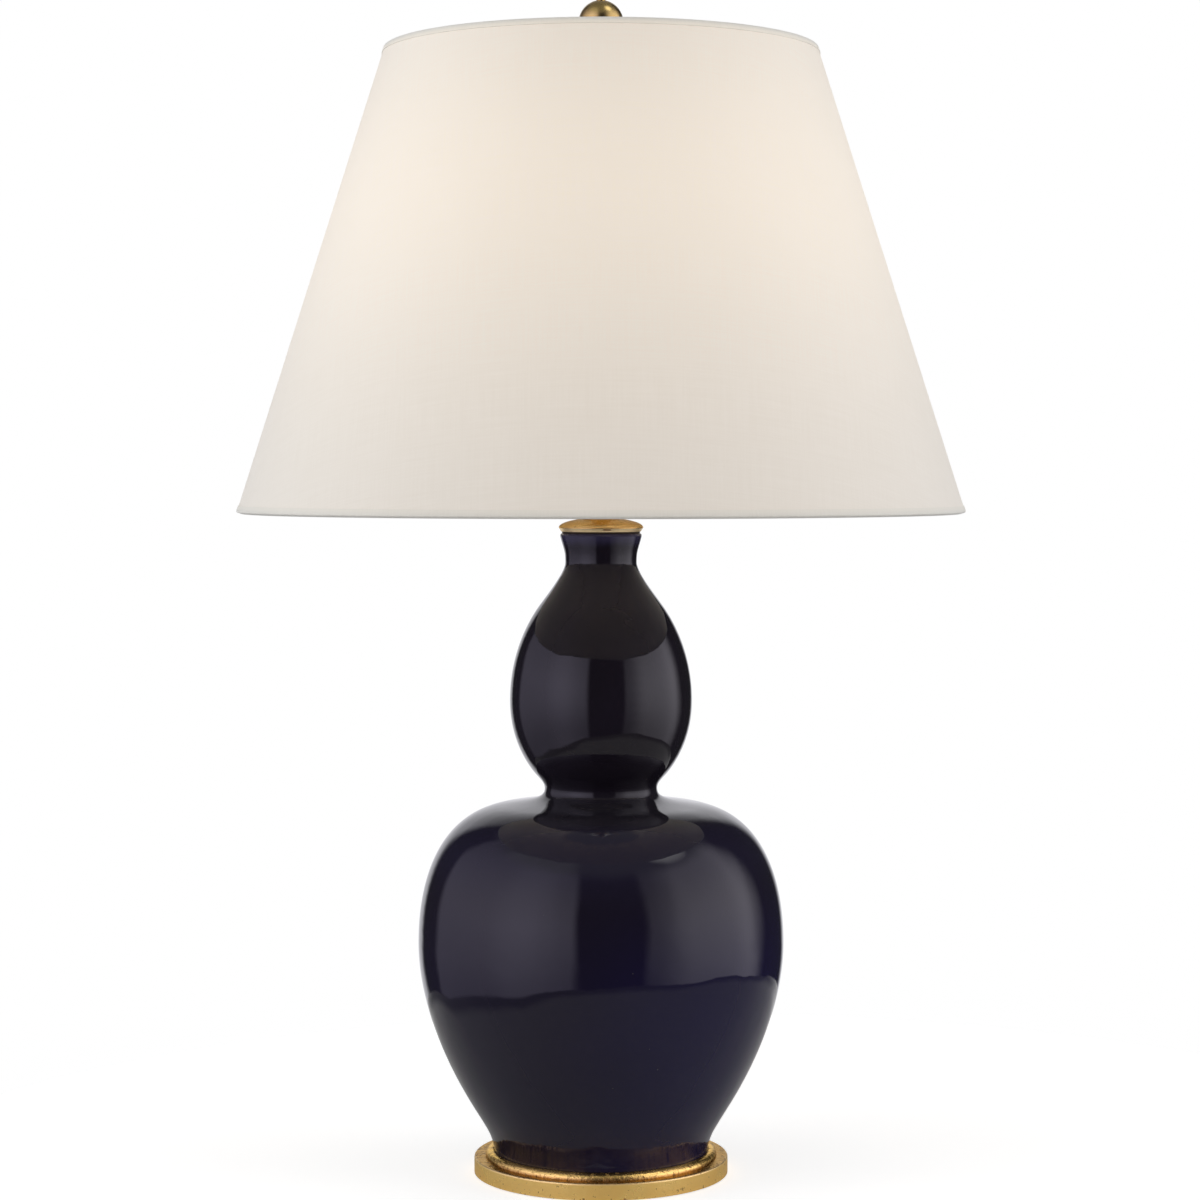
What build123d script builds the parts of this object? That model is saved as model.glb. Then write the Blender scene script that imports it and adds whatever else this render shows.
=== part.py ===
from build123d import *

import os
from math import acos, cos, degrees, radians, sin, sqrt

# Double-gourd table lamp: a glazed stoneware jar on a gilded plinth, under a tapered linen shade.
# The shade hangs on a detachable wire harp that stands in a saddle below the lamp socket.
# Millimetres, +Z up. The origin is on the lamp's axis, on the surface that it stands on.
# The front looks along -Y, with the switch knob, and the flex leaves at the back, along +Y.

# Plinth of turned and gilded wood, with felt let into its underside
felt_thickness = 1.6
felt_recess = 1.0
felt_margin = 4.6
felt_clearance = 0.5
ledge_width = 8.0
plinth_wall_height = 11.5
plinth_edge_round = 1.2
bead_radius = 4.6
bead_flat = 0.6
seat_depth = 2.4
pocket_radius = 30.0
pocket_spare = 1.0

# Bushing for the flex, in the back of the plinth
bushing_bore_radius = 2.6
bushing_wall = 0.8
bushing_length = 14.0
bushing_flange_radius = 3.9
bushing_flange_thickness = 1.2
bushing_clearance = 0.1
spot_face_depth = 0.3

# Jar: outside radius and slope of the outline at each station, and its rise from the station below
jar_foot_radius = 75.3
jar_foot_slope = 87.0
jar_flare_radius = 93.0
jar_flare_rise = 37.6
jar_flare_slope = 59.3
jar_belly_radius = 128.0
jar_belly_rise = 110.0
jar_shoulder_radius = 69.2
jar_shoulder_rise = 96.2
jar_shoulder_slope = 171.5
jar_waist_radius = 39.4
jar_waist_rise = 11.7
jar_cup_radius = 47.4
jar_cup_rise = 12.0
jar_cup_slope = 52.4
jar_crown_radius = 63.7
jar_crown_rise = 49.4
jar_taper_radius = 44.7
jar_taper_rise = 64.1
jar_taper_slope = 124.0
jar_neck_radius = 25.0
jar_neck_rise = 32.5
jar_lip_radius = 28.6
jar_lip_rise = 18.4
jar_lip_slope = 76.0
jar_lip_round = 2.0
jar_wall = 6.0
jar_floor = 8.0
jar_drain_radius = 8.0
foot_clearance = 0.6
gasket_thickness = 1.0
foot_gasket_width = 6.0

# Threaded pipe that draws the lamp together, and its nuts and washers
pipe_radius = 5.0
pipe_wall = 1.5
pipe_clearance = 0.3
thread_clearance = 0.05
washer_radius = 16.0
washer_thickness = 1.6
lock_washer_radius = 9.0
lock_washer_thickness = 0.8
lock_washer_teeth = 12
lock_tooth_depth = 1.4
nut_across_flats = 15.0
nut_thickness = 2.6
pipe_end_past_nut = 0.4

# Gilded cap on the jar's mouth
cap_radius = 29.5
cap_height = 8.8
cap_brim_height = 2.9
cap_foot_radius = 27.2
cap_shelf = 2.0
cap_spigot_length = 8.0
cap_spigot_clearance = 0.8

# Brass neck between the cap and the harp's saddle
neck_height = 46.0
neck_foot_radius = 13.0
neck_foot_thickness = 3.0
neck_stem_radius = 7.6
neck_head_radius = 11.0
neck_head_thickness = 2.2
neck_cove_radius = 4.0

# Bulb with a medium screw cap
bulb_radius = 30.0
bulb_length = 83.0
bulb_throat_radius = 13.8
bulb_wall = 0.9
bulb_shoulder_share = 0.36
screw_cap_radius = 13.0
screw_cap_height = 21.0
screw_cap_sheet = 0.5
screw_cap_lip = 1.0
bulb_tip_radius = 4.6
bulb_tip_height = 1.6
insulator_height = 3.4
stem_radius = 4.0
stem_height = 34.0
stem_wire_radius = 0.5
stem_wire_spread = 9.0
stem_wire_rise = 18.0

# Socket: brass cap and shell round an insulated body with a turn switch
socket_play = 0.5
socket_gap = 0.3
screw_shell_sheet = 0.5
screw_shell_height = 22.0
contact_hole_radius = 6.0
contact_thickness = 0.6
contact_width = 5.0
contact_rise = 2.2
socket_body_margin = 1.0
socket_body_height = 20.0
socket_body_base = 15.0
terminal_flat_inset = 3.4
terminal_screw_radius = 1.6
terminal_head_radius = 3.2
terminal_head_height = 1.5
terminal_screw_depth = 5.0
liner_thickness = 0.8
shell_sheet = 0.7
shell_rim_width = 1.0
shell_rim_height = 1.6
shell_overlap = 7.0
socket_cap_height = 22.0
socket_cap_sheet = 0.9
socket_hub_radius = 8.6
socket_hub_height = 6.0
pipe_end_in_hub = 4.0
set_screw_radius = 1.2
set_screw_head_radius = 2.2
set_screw_head_height = 1.4

# Turn knob on the front of the socket
switch_height = 27.5
switch_shaft_radius = 2.0
switch_shaft_clearance = 0.08
switch_shaft_depth = 11.0
switch_slot_margin = 1.0
knob_radius = 6.6
knob_length = 13.0
knob_stand_off = 4.0
knob_flutes = 14
knob_flute_radius = 0.9
knob_edge_round = 1.0
knob_socket_depth = 8.0

# Harp of brass wire, its saddle and the two sleeves that lock them together
saddle_strip_width = 12.7
saddle_strip_thickness = 2.0
saddle_bend_radius = 5.0
saddle_arm_height = 20.0
saddle_peg_height = 10.0
saddle_nut_thickness = 3.0
harp_foot_clearance = 6.0
harp_wire_radius = 1.8
harp_height = 266.7
harp_half_width = 57.0
harp_leg_straight = 40.0
harp_swell_height = 70.0
harp_swell_bend = 60.0
harp_lap_gap = 0.1
harp_pad_radius = 6.5
harp_pad_thickness = 3.0
sleeve_radius = 3.8
sleeve_length = 15.0
sleeve_lip = 0.5
sleeve_lip_height = 2.0
sleeve_clearance = 0.2
sleeve_rest_gap = 0.05
rivet_radius = 1.9
rivet_clearance = 0.05
rivet_head_radius = 3.4
rivet_head_height = 1.6
stud_platform_radius = 8.5
stud_platform_thickness = 2.2
stud_thread_radius = 3.1
stud_thread_length = 14.0

# Shade: linen on a stiff liner between two wire rings, with a spider fitter in the upper ring
shade_top_radius = 149.8
shade_bottom_radius = 252.4
shade_height = 320.1
fitter_drop = 8.6
fabric_thickness = 0.5
liner_sheet = 0.8
lamination_gap = 0.3
shade_edge_inset = 1.0
seam_width = 12.0
seam_thickness = 0.4
ring_wire_radius = 1.4
ring_gap = 0.3
ring_play = 0.45
trim_thickness = 0.5
trim_height = 4.5
trim_gap = 0.2
fitter_washer_radius = 11.0
fitter_washer_thickness = 2.0
fitter_hole_clearance = 0.3
fitter_arm_radius = 1.3
fitter_arm_count = 3
fitter_arm_clearance = 0.3

# Ball finial, turned in brass and screwed on to the harp's stud
finial_ball_radius = 15.6
finial_pedestal_height = 11.4
finial_foot_radius = 8.0
finial_foot_thickness = 2.2
finial_waist_radius = 5.0
finial_nub_radius = 3.2
finial_nub_height = 2.4
finial_bore_clearance = 0.1
finial_bore_spare = 1.0

# Heights at which the stacked pieces meet
plinth_base = felt_thickness - felt_recess
ledge_level = plinth_base + plinth_wall_height
bead_level = ledge_level + bead_radius
seat_level = bead_level - seat_depth
jar_base = seat_level + gasket_thickness
jar_flare_level = jar_base + jar_flare_rise
jar_belly_level = jar_flare_level + jar_belly_rise
jar_shoulder_level = jar_belly_level + jar_shoulder_rise
jar_waist_level = jar_shoulder_level + jar_waist_rise
jar_cup_level = jar_waist_level + jar_cup_rise
jar_crown_level = jar_cup_level + jar_crown_rise
jar_taper_level = jar_crown_level + jar_taper_rise
jar_neck_level = jar_taper_level + jar_neck_rise
jar_lip_level = jar_neck_level + jar_lip_rise
jar_top = jar_lip_level + jar_lip_round
cap_base = jar_top + gasket_thickness
neck_base = cap_base + cap_height
saddle_base = neck_base + neck_height
saddle_top = saddle_base + saddle_strip_thickness
socket_base = saddle_top + saddle_nut_thickness
nut_stack = washer_thickness + lock_washer_thickness + nut_thickness
pipe_base = felt_thickness + pocket_spare
pocket_level = pipe_base + pipe_end_past_nut + nut_stack
bushing_level = (felt_thickness + ledge_level) / 2
socket_body_level = socket_base + socket_body_base
screw_shell_level = socket_body_level + socket_body_height
switch_level = socket_base + switch_height
shell_base = socket_base + socket_cap_height - shell_overlap
shell_top = screw_shell_level + screw_shell_height + shell_rim_height
bulb_tip_level = screw_shell_level + contact_thickness + contact_rise + thread_clearance
insulator_level = bulb_tip_level + bulb_tip_height
screw_cap_level = insulator_level + insulator_height
bulb_level = screw_cap_level + screw_cap_height
saddle_shoulder = saddle_base + saddle_arm_height
harp_top = saddle_base + harp_height
harp_axis_top = harp_top - harp_wire_radius
harp_spring_level = harp_axis_top - harp_half_width
platform_level = harp_axis_top + harp_pad_thickness / 2
fitter_level = platform_level + stud_platform_thickness
finial_base = fitter_level + fitter_washer_thickness
shade_top = finial_base + fitter_drop

# Radii that follow from what a piece goes round
pipe_hole_radius = pipe_radius + pipe_clearance
thread_hole_radius = pipe_radius + thread_clearance
seat_radius = jar_foot_radius + foot_clearance
bead_foot_radius = seat_radius + bead_flat + bead_radius
plinth_radius = bead_foot_radius + ledge_width
felt_radius = plinth_radius - felt_margin - felt_clearance
bushing_radius = bushing_bore_radius + bushing_wall
screw_shell_bore = screw_cap_radius + socket_play
screw_shell_radius = screw_shell_bore + screw_shell_sheet
socket_body_radius = screw_shell_radius + socket_body_margin
liner_bore = socket_body_radius + socket_gap
liner_radius = liner_bore + liner_thickness
shell_bore = liner_radius + socket_gap
shell_radius = shell_bore + shell_sheet
socket_cap_bore = shell_radius + socket_gap
socket_cap_radius = socket_cap_bore + socket_cap_sheet
harp_foot_offset = bulb_radius + harp_foot_clearance
fitter_hole_radius = stud_thread_radius + fitter_hole_clearance
slot_radius = switch_shaft_radius + switch_slot_margin


def turned(outline):
    """Turns a closed outline, drawn as (radius, height), about the lamp's axis."""
    return revolve(Plane.XZ * make_face(outline), Axis.Z)


def turned_ring(inner, outer, low, high):
    """A plain ring or tube about the lamp's axis."""
    return turned(Polyline((inner, low), (outer, low), (outer, high), (inner, high), close=True))


def rod(radius, start, end):
    """A straight round bar from one point to another."""
    axis = Vector(end) - Vector(start)
    plane = Plane(origin=start, z_dir=axis)
    return extrude(plane * Circle(radius), amount=axis.length)


def hex_nut(level, thickness):
    """A hexagon nut on the threaded pipe."""
    blank = RegularPolygon(nut_across_flats / 2, 6, major_radius=False) - Circle(thread_hole_radius)
    return extrude(Pos(0, 0, level) * blank, amount=thickness)


def felt_pad():
    return turned_ring(0, felt_radius, 0, felt_thickness)


def flex_hole(radius):
    """The radial hole for the flex, from the plinth's pocket out through its back."""
    start = (0, pocket_radius / 2, bushing_level)
    return rod(radius, start, (0, plinth_radius + bushing_flange_thickness, bushing_level))


def base_plinth():
    """Wall, ledge and ovolo bead above; seat for the jar; pocket for the nut below."""
    bead_top = (seat_radius + bead_flat, bead_level)
    bead_foot = (bead_foot_radius, ledge_level)
    edge = plinth_edge_round
    inner = Polyline(
        bead_top,
        (seat_radius, bead_level),
        (seat_radius, seat_level),
        (pipe_hole_radius, seat_level),
        (pipe_hole_radius, pocket_level),
        (pocket_radius, pocket_level),
        (pocket_radius, felt_thickness),
        (felt_radius + felt_clearance, felt_thickness),
        (felt_radius + felt_clearance, plinth_base),
        (plinth_radius, plinth_base),
        (plinth_radius, ledge_level - edge),
    )
    corner = RadiusArc((plinth_radius, ledge_level - edge), (plinth_radius - edge, ledge_level), -edge)
    ledge = Line((plinth_radius - edge, ledge_level), bead_foot)
    bead = RadiusArc(bead_foot, bead_top, -bead_radius)
    body = turned(inner + corner + ledge + bead)
    spot_face = rod(
        bushing_flange_radius + bushing_clearance,
        (0, plinth_radius - spot_face_depth, bushing_level),
        (0, plinth_radius + bushing_flange_thickness, bushing_level),
    )
    return body - flex_hole(bushing_radius + bushing_clearance) - spot_face


def cord_bushing():
    """Flanged sleeve pressed into the plinth from behind."""
    seat = plinth_radius - spot_face_depth
    centre = (0, seat, bushing_level)
    barrel = rod(bushing_radius, (0, seat - bushing_length, bushing_level), centre)
    outer_face = (0, seat + bushing_flange_thickness, bushing_level)
    flange = rod(bushing_flange_radius, centre, outer_face)
    rim = (barrel + flange).edges().filter_by(GeomType.CIRCLE).sort_by(Axis.Y)[-1]
    body = fillet(rim, bushing_flange_thickness * 0.6)
    return body - rod(bushing_bore_radius, (0, seat - bushing_length, bushing_level), outer_face)


def foot_gasket():
    return turned_ring(jar_foot_radius - foot_gasket_width, jar_foot_radius, seat_level, jar_base)


def jar_outline(inset):
    """The jar's outline, drawn in from the outside by inset: smooth spans between its stations."""
    stations = [
        (jar_foot_radius, jar_base, jar_foot_slope),
        (jar_flare_radius, jar_flare_level, jar_flare_slope),
        (jar_belly_radius, jar_belly_level, 90),
        (jar_shoulder_radius, jar_shoulder_level, jar_shoulder_slope),
        (jar_waist_radius, jar_waist_level, 90),
        (jar_cup_radius, jar_cup_level, jar_cup_slope),
        (jar_crown_radius, jar_crown_level, 90),
        (jar_taper_radius, jar_taper_level, jar_taper_slope),
        (jar_neck_radius, jar_neck_level, 90),
        (jar_lip_radius, jar_lip_level, jar_lip_slope),
    ]
    # How far each span runs on straight from its lower and its upper end, as a share of its length
    fullness = [
        (0.31, 0.52),
        (0.41, 0.27),
        (0.35, 0.42),
        (0.70, 0.23),
        (0.31, 0.34),
        (0.34, 0.36),
        (0.40, 0.28),
        (0.24, 0.20),
        (0.46, 0.55),
    ]
    points = []
    for radius, height, slope in stations:
        heading = Vector(cos(radians(slope)), sin(radians(slope)))
        inward = Vector(-heading.Y, heading.X)
        points.append((Vector(radius, height) + inward * inset, heading))
    spans = []
    for (start, leave), (end, arrive), (lower, upper) in zip(points, points[1:], fullness):
        reach = (end - start).length
        spans.append(Bezier(start, start + leave * reach * lower, end - arrive * reach * upper, end))
    return spans


def gourd_body():
    """Slip-cast stoneware: one even wall, a drilled floor and a rounded lip."""
    outside = jar_outline(0)
    inside = jar_outline(jar_wall)
    lip = outside[-1] @ 1
    lip_crest = (lip.X - jar_lip_round, jar_top)
    throat = inside[-1] @ 1
    cavity_floor = inside[0] @ 0
    floor_level = jar_base + jar_floor
    lip_arc = RadiusArc(lip, lip_crest, -jar_lip_round)
    mouth = Polyline(lip_crest, (throat.X, jar_top), throat)
    floor = Polyline(
        cavity_floor,
        (cavity_floor.X, jar_base),
        outside[0] @ 0,
    )
    shell = turned(Curve() + outside + [lip_arc, mouth] + inside + [floor])
    floor_disc = turned_ring(jar_drain_radius, cavity_floor.X, jar_base, floor_level)
    return shell + floor_disc


def cap_spigot_radius():
    return jar_neck_radius - jar_wall - cap_spigot_clearance


def cap_gasket():
    return turned_ring(jar_lip_radius - jar_wall, cap_foot_radius, jar_top, cap_base)


def neck_cap():
    """Domed cap with a rounded brim and a spigot that drops into the jar's mouth."""
    spigot = cap_spigot_radius()
    brim = (cap_radius, cap_base + cap_brim_height)
    foot = (cap_foot_radius, cap_base)
    overhang = cap_radius - cap_foot_radius
    crown_share = (neck_foot_radius + cap_shelf) / cap_radius
    dome_height = (cap_height - cap_brim_height) / sqrt(1 - crown_share**2)
    under = Bezier(
        foot,
        (foot[0] + overhang * 0.75, cap_base),
        (cap_radius, cap_base + cap_brim_height * 0.4),
        brim,
    )
    over = EllipticalCenterArc((0, brim[1]), cap_radius, dome_height, arc_size=degrees(acos(crown_share)))
    rest = Polyline(
        over @ 1,
        (pipe_hole_radius, neck_base),
        (pipe_hole_radius, cap_base - cap_spigot_length),
        (spigot, cap_base - cap_spigot_length),
        (spigot, cap_base),
        foot,
    )
    return turned(under + over + rest)


def threaded_pipe():
    return turned_ring(pipe_radius - pipe_wall, pipe_radius, pipe_base, socket_base + pipe_end_in_hub)


def base_washer():
    return turned_ring(pipe_hole_radius, washer_radius, pocket_level - washer_thickness, pocket_level)


def base_lock_washer():
    """Thin washer with teeth cut round its rim."""
    top = pocket_level - washer_thickness
    blank = turned_ring(thread_hole_radius, lock_washer_radius, top - lock_washer_thickness, top)
    gap_radius = lock_tooth_depth / 2
    gap = Pos(lock_washer_radius, 0, top) * Cylinder(gap_radius, 3 * lock_washer_thickness)
    return blank - PolarLocations(0, lock_washer_teeth) * gap


def base_nut():
    return hex_nut(pocket_level - nut_stack, nut_thickness)


def neck_spindle():
    """Turned neck: a foot, a cove, a plain stem and a flared head."""
    stem = neck_stem_radius
    cove = neck_cove_radius
    foot_top = neck_base + neck_foot_thickness
    head_base = saddle_base - neck_head_thickness
    flare = neck_head_radius - stem
    edge = Polyline(
        (pipe_hole_radius, saddle_base),
        (pipe_hole_radius, neck_base),
        (neck_foot_radius, neck_base),
        (neck_foot_radius, foot_top),
        (stem + cove, foot_top),
    )
    lower_cove = RadiusArc((stem + cove, foot_top), (stem, foot_top + cove), cove)
    shank = Line((stem, foot_top + cove), (stem, head_base - flare))
    upper_cove = RadiusArc((stem, head_base - flare), (neck_head_radius, head_base), flare)
    head = Polyline(
        (neck_head_radius, head_base), (neck_head_radius, saddle_base), (pipe_hole_radius, saddle_base)
    )
    return turned(edge + lower_cove + shank + upper_cove + head)


def harp_saddle():
    """Bent strip with a hole for the pipe and a half-round peg on each arm."""
    face = harp_foot_offset
    inner = face - saddle_strip_thickness
    bend = saddle_bend_radius
    outside = FilletPolyline(
        (-face, saddle_shoulder),
        (-face, saddle_base),
        (face, saddle_base),
        (face, saddle_shoulder),
        radius=bend + saddle_strip_thickness,
    )
    inside = FilletPolyline(
        (inner, saddle_shoulder),
        (inner, saddle_top),
        (-inner, saddle_top),
        (-inner, saddle_shoulder),
        radius=bend,
    )
    tips = [Line((side * face, saddle_shoulder), (side * inner, saddle_shoulder)) for side in (-1, 1)]
    strip = extrude(
        Plane.XZ * make_face(Curve() + outside + inside + tips), saddle_strip_width / 2, both=True
    )
    strip -= rod(pipe_hole_radius, (0, 0, saddle_base - 1), (0, 0, saddle_top + 1))
    lap = Box(2 * (face - harp_lap_gap / 2), saddle_strip_width, 4 * saddle_peg_height)
    for side in (-1, 1):
        foot = (side * face, 0, saddle_shoulder)
        peg = rod(harp_wire_radius, foot, (side * face, 0, saddle_shoulder + saddle_peg_height))
        strip += peg & (Pos(0, 0, saddle_shoulder) * lap)
    return strip


def saddle_nut():
    return hex_nut(saddle_top, saddle_nut_thickness)


def socket_cap():
    """Spun brass cup with a threaded hub."""
    hub_top = socket_base + socket_hub_height
    wall_base = hub_top + (socket_cap_radius - socket_hub_radius) * 0.7
    floor_level = hub_top + socket_cap_sheet
    spread = socket_cap_radius - socket_hub_radius
    sheet = socket_cap_sheet
    rim = socket_base + socket_cap_height
    hub = Polyline(
        (thread_hole_radius, floor_level),
        (thread_hole_radius, socket_base),
        (socket_hub_radius, socket_base),
        (socket_hub_radius, hub_top),
    )
    dome = Bezier(
        (socket_hub_radius, hub_top),
        (socket_hub_radius + spread * 0.6, hub_top),
        (socket_cap_radius, hub_top + (wall_base - hub_top) * 0.4),
        (socket_cap_radius, wall_base),
    )
    wall = Polyline(
        (socket_cap_radius, wall_base),
        (socket_cap_radius, rim),
        (socket_cap_bore, rim),
        (socket_cap_bore, wall_base),
    )
    inner_dome = Bezier(
        (socket_cap_bore, wall_base),
        (socket_cap_bore, floor_level + (wall_base - floor_level) * 0.4),
        (socket_hub_radius + (spread - sheet) * 0.6, floor_level),
        (socket_hub_radius, floor_level),
    )
    floor = Line((socket_hub_radius, floor_level), (thread_hole_radius, floor_level))
    body = turned(hub + dome + wall + inner_dome + floor)
    level = set_screw_level()
    return body - rod(set_screw_radius + thread_clearance, (0, 0, level), (0, 2 * socket_hub_radius, level))


def set_screw_level():
    return socket_base + socket_hub_height / 2


def socket_set_screw():
    """Screw through the hub that keeps the socket from turning on the pipe."""
    level = set_screw_level()
    head_base = socket_hub_radius + thread_clearance
    head_top = head_base + set_screw_head_height
    shank = rod(set_screw_radius, (0, thread_hole_radius, level), (0, head_base, level))
    return shank + rod(set_screw_head_radius, (0, head_base, level), (0, head_top, level))


def switch_slot(radius, low):
    """Cut for the switch shaft, open at the lower edge of a tube, through its front wall."""
    reach = 2 * shell_radius
    bore = rod(radius, (0, 0, switch_level), (0, -reach, switch_level))
    height = switch_level - low
    mouth = Pos(0, -reach / 2, low + height / 2) * Box(2 * radius, reach, height)
    return bore + mouth


def socket_shell():
    """Brass tube with a rolled rim and a slot for the switch shaft."""
    rim_base = shell_top - shell_rim_height
    body = turned(
        Polyline(
            (shell_bore, shell_base),
            (shell_radius, shell_base),
            (shell_radius, rim_base),
            (shell_radius + shell_rim_width, rim_base),
            (shell_radius + shell_rim_width, shell_top),
            (shell_bore, shell_top),
            close=True,
        )
    )
    rim_edges = body.edges().filter_by(GeomType.CIRCLE).sort_by(SortBy.RADIUS)[-2:]
    body = fillet(rim_edges, min(shell_rim_width, shell_rim_height) * 0.45)
    return body - switch_slot(slot_radius, shell_base - 1)


def socket_liner():
    """Insulating board tube between the shell and the live parts."""
    tube = turned_ring(liner_bore, liner_radius, shell_base, screw_shell_level + screw_shell_height)
    return tube - switch_slot(slot_radius, shell_base - 1)


def terminal_level():
    return socket_body_level + socket_body_height / 2


def terminal_flat():
    return socket_body_radius - terminal_flat_inset


def socket_body():
    """Moulded body with a flat for each terminal and a bearing for the switch shaft."""
    body = turned_ring(0, socket_body_radius, socket_body_level, screw_shell_level)
    side = 2 * socket_body_radius
    for direction in (-1, 1):
        centre = direction * (terminal_flat() + side / 2)
        body -= Pos(centre, 0, terminal_level()) * Box(side, side, socket_body_height * 0.6)
        hole_start = (direction * (terminal_flat() - terminal_screw_depth), 0, terminal_level())
        body -= rod(
            terminal_screw_radius + thread_clearance, hole_start, (direction * side, 0, terminal_level())
        )
    bearing = switch_shaft_radius + switch_shaft_clearance
    bearing_end = switch_shaft_depth + switch_shaft_clearance - socket_body_radius
    return body - rod(bearing, (0, bearing_end, switch_level), (0, -side, switch_level))


def terminal_screws():
    """Two binding screws, one on each flat of the socket's body."""
    screws = []
    level = terminal_level()
    for direction in (-1, 1):
        seat_reach = terminal_flat() + thread_clearance
        tip = (direction * (seat_reach - terminal_screw_depth), 0, level)
        seat = (direction * seat_reach, 0, level)
        crown = (direction * (seat_reach + terminal_head_height), 0, level)
        shank = rod(terminal_screw_radius, tip, seat)
        screws.append(shank + rod(terminal_head_radius, seat, crown))
    return Compound(children=screws)


def screw_shell():
    """Sleeve that takes the bulb's cap, with a floor that is fixed to the socket's body."""
    top = screw_shell_level + screw_shell_height
    return turned(
        Polyline(
            (contact_hole_radius, screw_shell_level),
            (screw_shell_radius, screw_shell_level),
            (screw_shell_radius, top),
            (screw_shell_bore, top),
            (screw_shell_bore, screw_shell_level + screw_shell_sheet),
            (contact_hole_radius, screw_shell_level + screw_shell_sheet),
            close=True,
        )
    )


def centre_contact():
    """Sprung strip under the bulb's tip: a foot, a slope and a flat pad."""
    reach = contact_hole_radius * 0.7
    low = screw_shell_level
    high = low + contact_rise
    sheet = contact_thickness
    strip = Polyline(
        (-reach, low),
        (-reach * 0.3, low),
        (reach * 0.2, high),
        (reach * 0.9, high),
        (reach * 0.9, high + sheet),
        (reach * 0.2 - sheet * 0.4, high + sheet),
        (-reach * 0.3 - sheet * 0.4, low + sheet),
        (-reach, low + sheet),
        close=True,
    )
    return extrude(Plane.YZ * make_face(strip), contact_width / 2, both=True)


def switch_shaft():
    start = switch_shaft_depth - socket_body_radius
    end = -(shell_radius + knob_stand_off + knob_socket_depth)
    return rod(switch_shaft_radius, (0, start, switch_level), (0, end, switch_level))


def switch_knob():
    """Moulded knob with flutes for the fingers, pressed on to the shaft."""
    near = -(shell_radius + knob_stand_off)
    far = near - knob_length
    body = rod(knob_radius, (0, near, switch_level), (0, far, switch_level))
    rim = body.edges().filter_by(GeomType.CIRCLE).sort_by(Axis.Y)[0]
    body = fillet(rim, knob_edge_round)
    for index in range(knob_flutes):
        turn = radians(360 / knob_flutes * index)
        x = knob_radius * cos(turn)
        z = switch_level + knob_radius * sin(turn)
        body -= rod(knob_flute_radius, (x, near + 1, z), (x, far - 1, z))
    hole_end = near - knob_socket_depth
    return body - rod(switch_shaft_radius, (0, near + 1, switch_level), (0, hole_end, switch_level))


def bulb_profile(inset):
    """Pear-shaped outline of the bulb from its throat to its crown, drawn in by inset."""
    globe = bulb_level + bulb_length - bulb_radius
    throat = bulb_throat_radius - inset
    radius = bulb_radius - inset
    rise = globe - bulb_level
    flank = Bezier(
        (throat, bulb_level),
        (throat, bulb_level + rise * bulb_shoulder_share),
        (radius, globe - rise * (1 - bulb_shoulder_share) * 0.75),
        (radius, globe),
    )
    crown = RadiusArc((radius, globe), (0, globe + radius), -radius)
    return [flank, crown]


def bulb_glass():
    outside = bulb_profile(0)
    inside = bulb_profile(bulb_wall)
    pole = Line(outside[-1] @ 1, inside[-1] @ 1)
    throat = Line(inside[0] @ 0, outside[0] @ 0)
    return turned(Curve() + outside + inside + [pole, throat])


def bulb_screw_cap():
    """Thin metal cap with a turned-out lip that holds the glass."""
    lip_radius = max(screw_cap_radius, bulb_throat_radius) + screw_cap_lip
    seat = bulb_level - thread_clearance
    sheet = screw_cap_sheet
    return turned(
        Polyline(
            (screw_cap_radius - sheet, screw_cap_level),
            (screw_cap_radius, screw_cap_level),
            (screw_cap_radius, seat - 2 * sheet),
            (lip_radius, seat - sheet),
            (lip_radius, seat),
            (screw_cap_radius - sheet, seat),
            close=True,
        )
    )


def bulb_insulator():
    return turned(
        Polyline(
            (0, insulator_level),
            (bulb_tip_radius, insulator_level),
            (screw_cap_radius - screw_cap_sheet, screw_cap_level),
            (0, screw_cap_level),
            close=True,
        )
    )


def bulb_tip():
    """Solder contact, slightly domed."""
    crown = Bezier(
        (0, bulb_tip_level),
        (bulb_tip_radius * 0.6, bulb_tip_level),
        (bulb_tip_radius, bulb_tip_level + bulb_tip_height * 0.5),
        (bulb_tip_radius, insulator_level),
    )
    rest = Polyline((bulb_tip_radius, insulator_level), (0, insulator_level), (0, bulb_tip_level))
    return turned(crown + rest)


def bulb_stem():
    """Glass stem that stands on the insulator and carries the filament."""
    top = bulb_level + stem_height
    flare = screw_cap_radius - 3 * screw_cap_sheet
    side = Bezier(
        (flare, screw_cap_level),
        (stem_radius, screw_cap_level + screw_cap_height * 0.5),
        (stem_radius, bulb_level),
        (stem_radius, top),
    )
    core = Polyline((stem_radius, top), (0, top), (0, screw_cap_level), (flare, screw_cap_level))
    return turned(side + core)


def bulb_filament():
    """Two lead wires that spread from the stem and the filament bowed between them."""
    base = bulb_level + stem_height
    high = base + stem_wire_rise
    root = stem_radius * 0.5
    bow = ThreePointArc(
        (-stem_wire_spread, 0, high), (0, stem_wire_spread * 0.4, high), (stem_wire_spread, 0, high)
    )
    mount = sweep(Plane(origin=bow @ 0, z_dir=bow % 0) * Circle(stem_wire_radius), path=bow)
    for side in (-1, 1):
        mount += rod(stem_wire_radius, (side * root, 0, base), (side * stem_wire_spread, 0, high))
        mount += Pos(side * stem_wire_spread, 0, high) * Sphere(stem_wire_radius * 1.3)
    return mount - bulb_stem()


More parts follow.
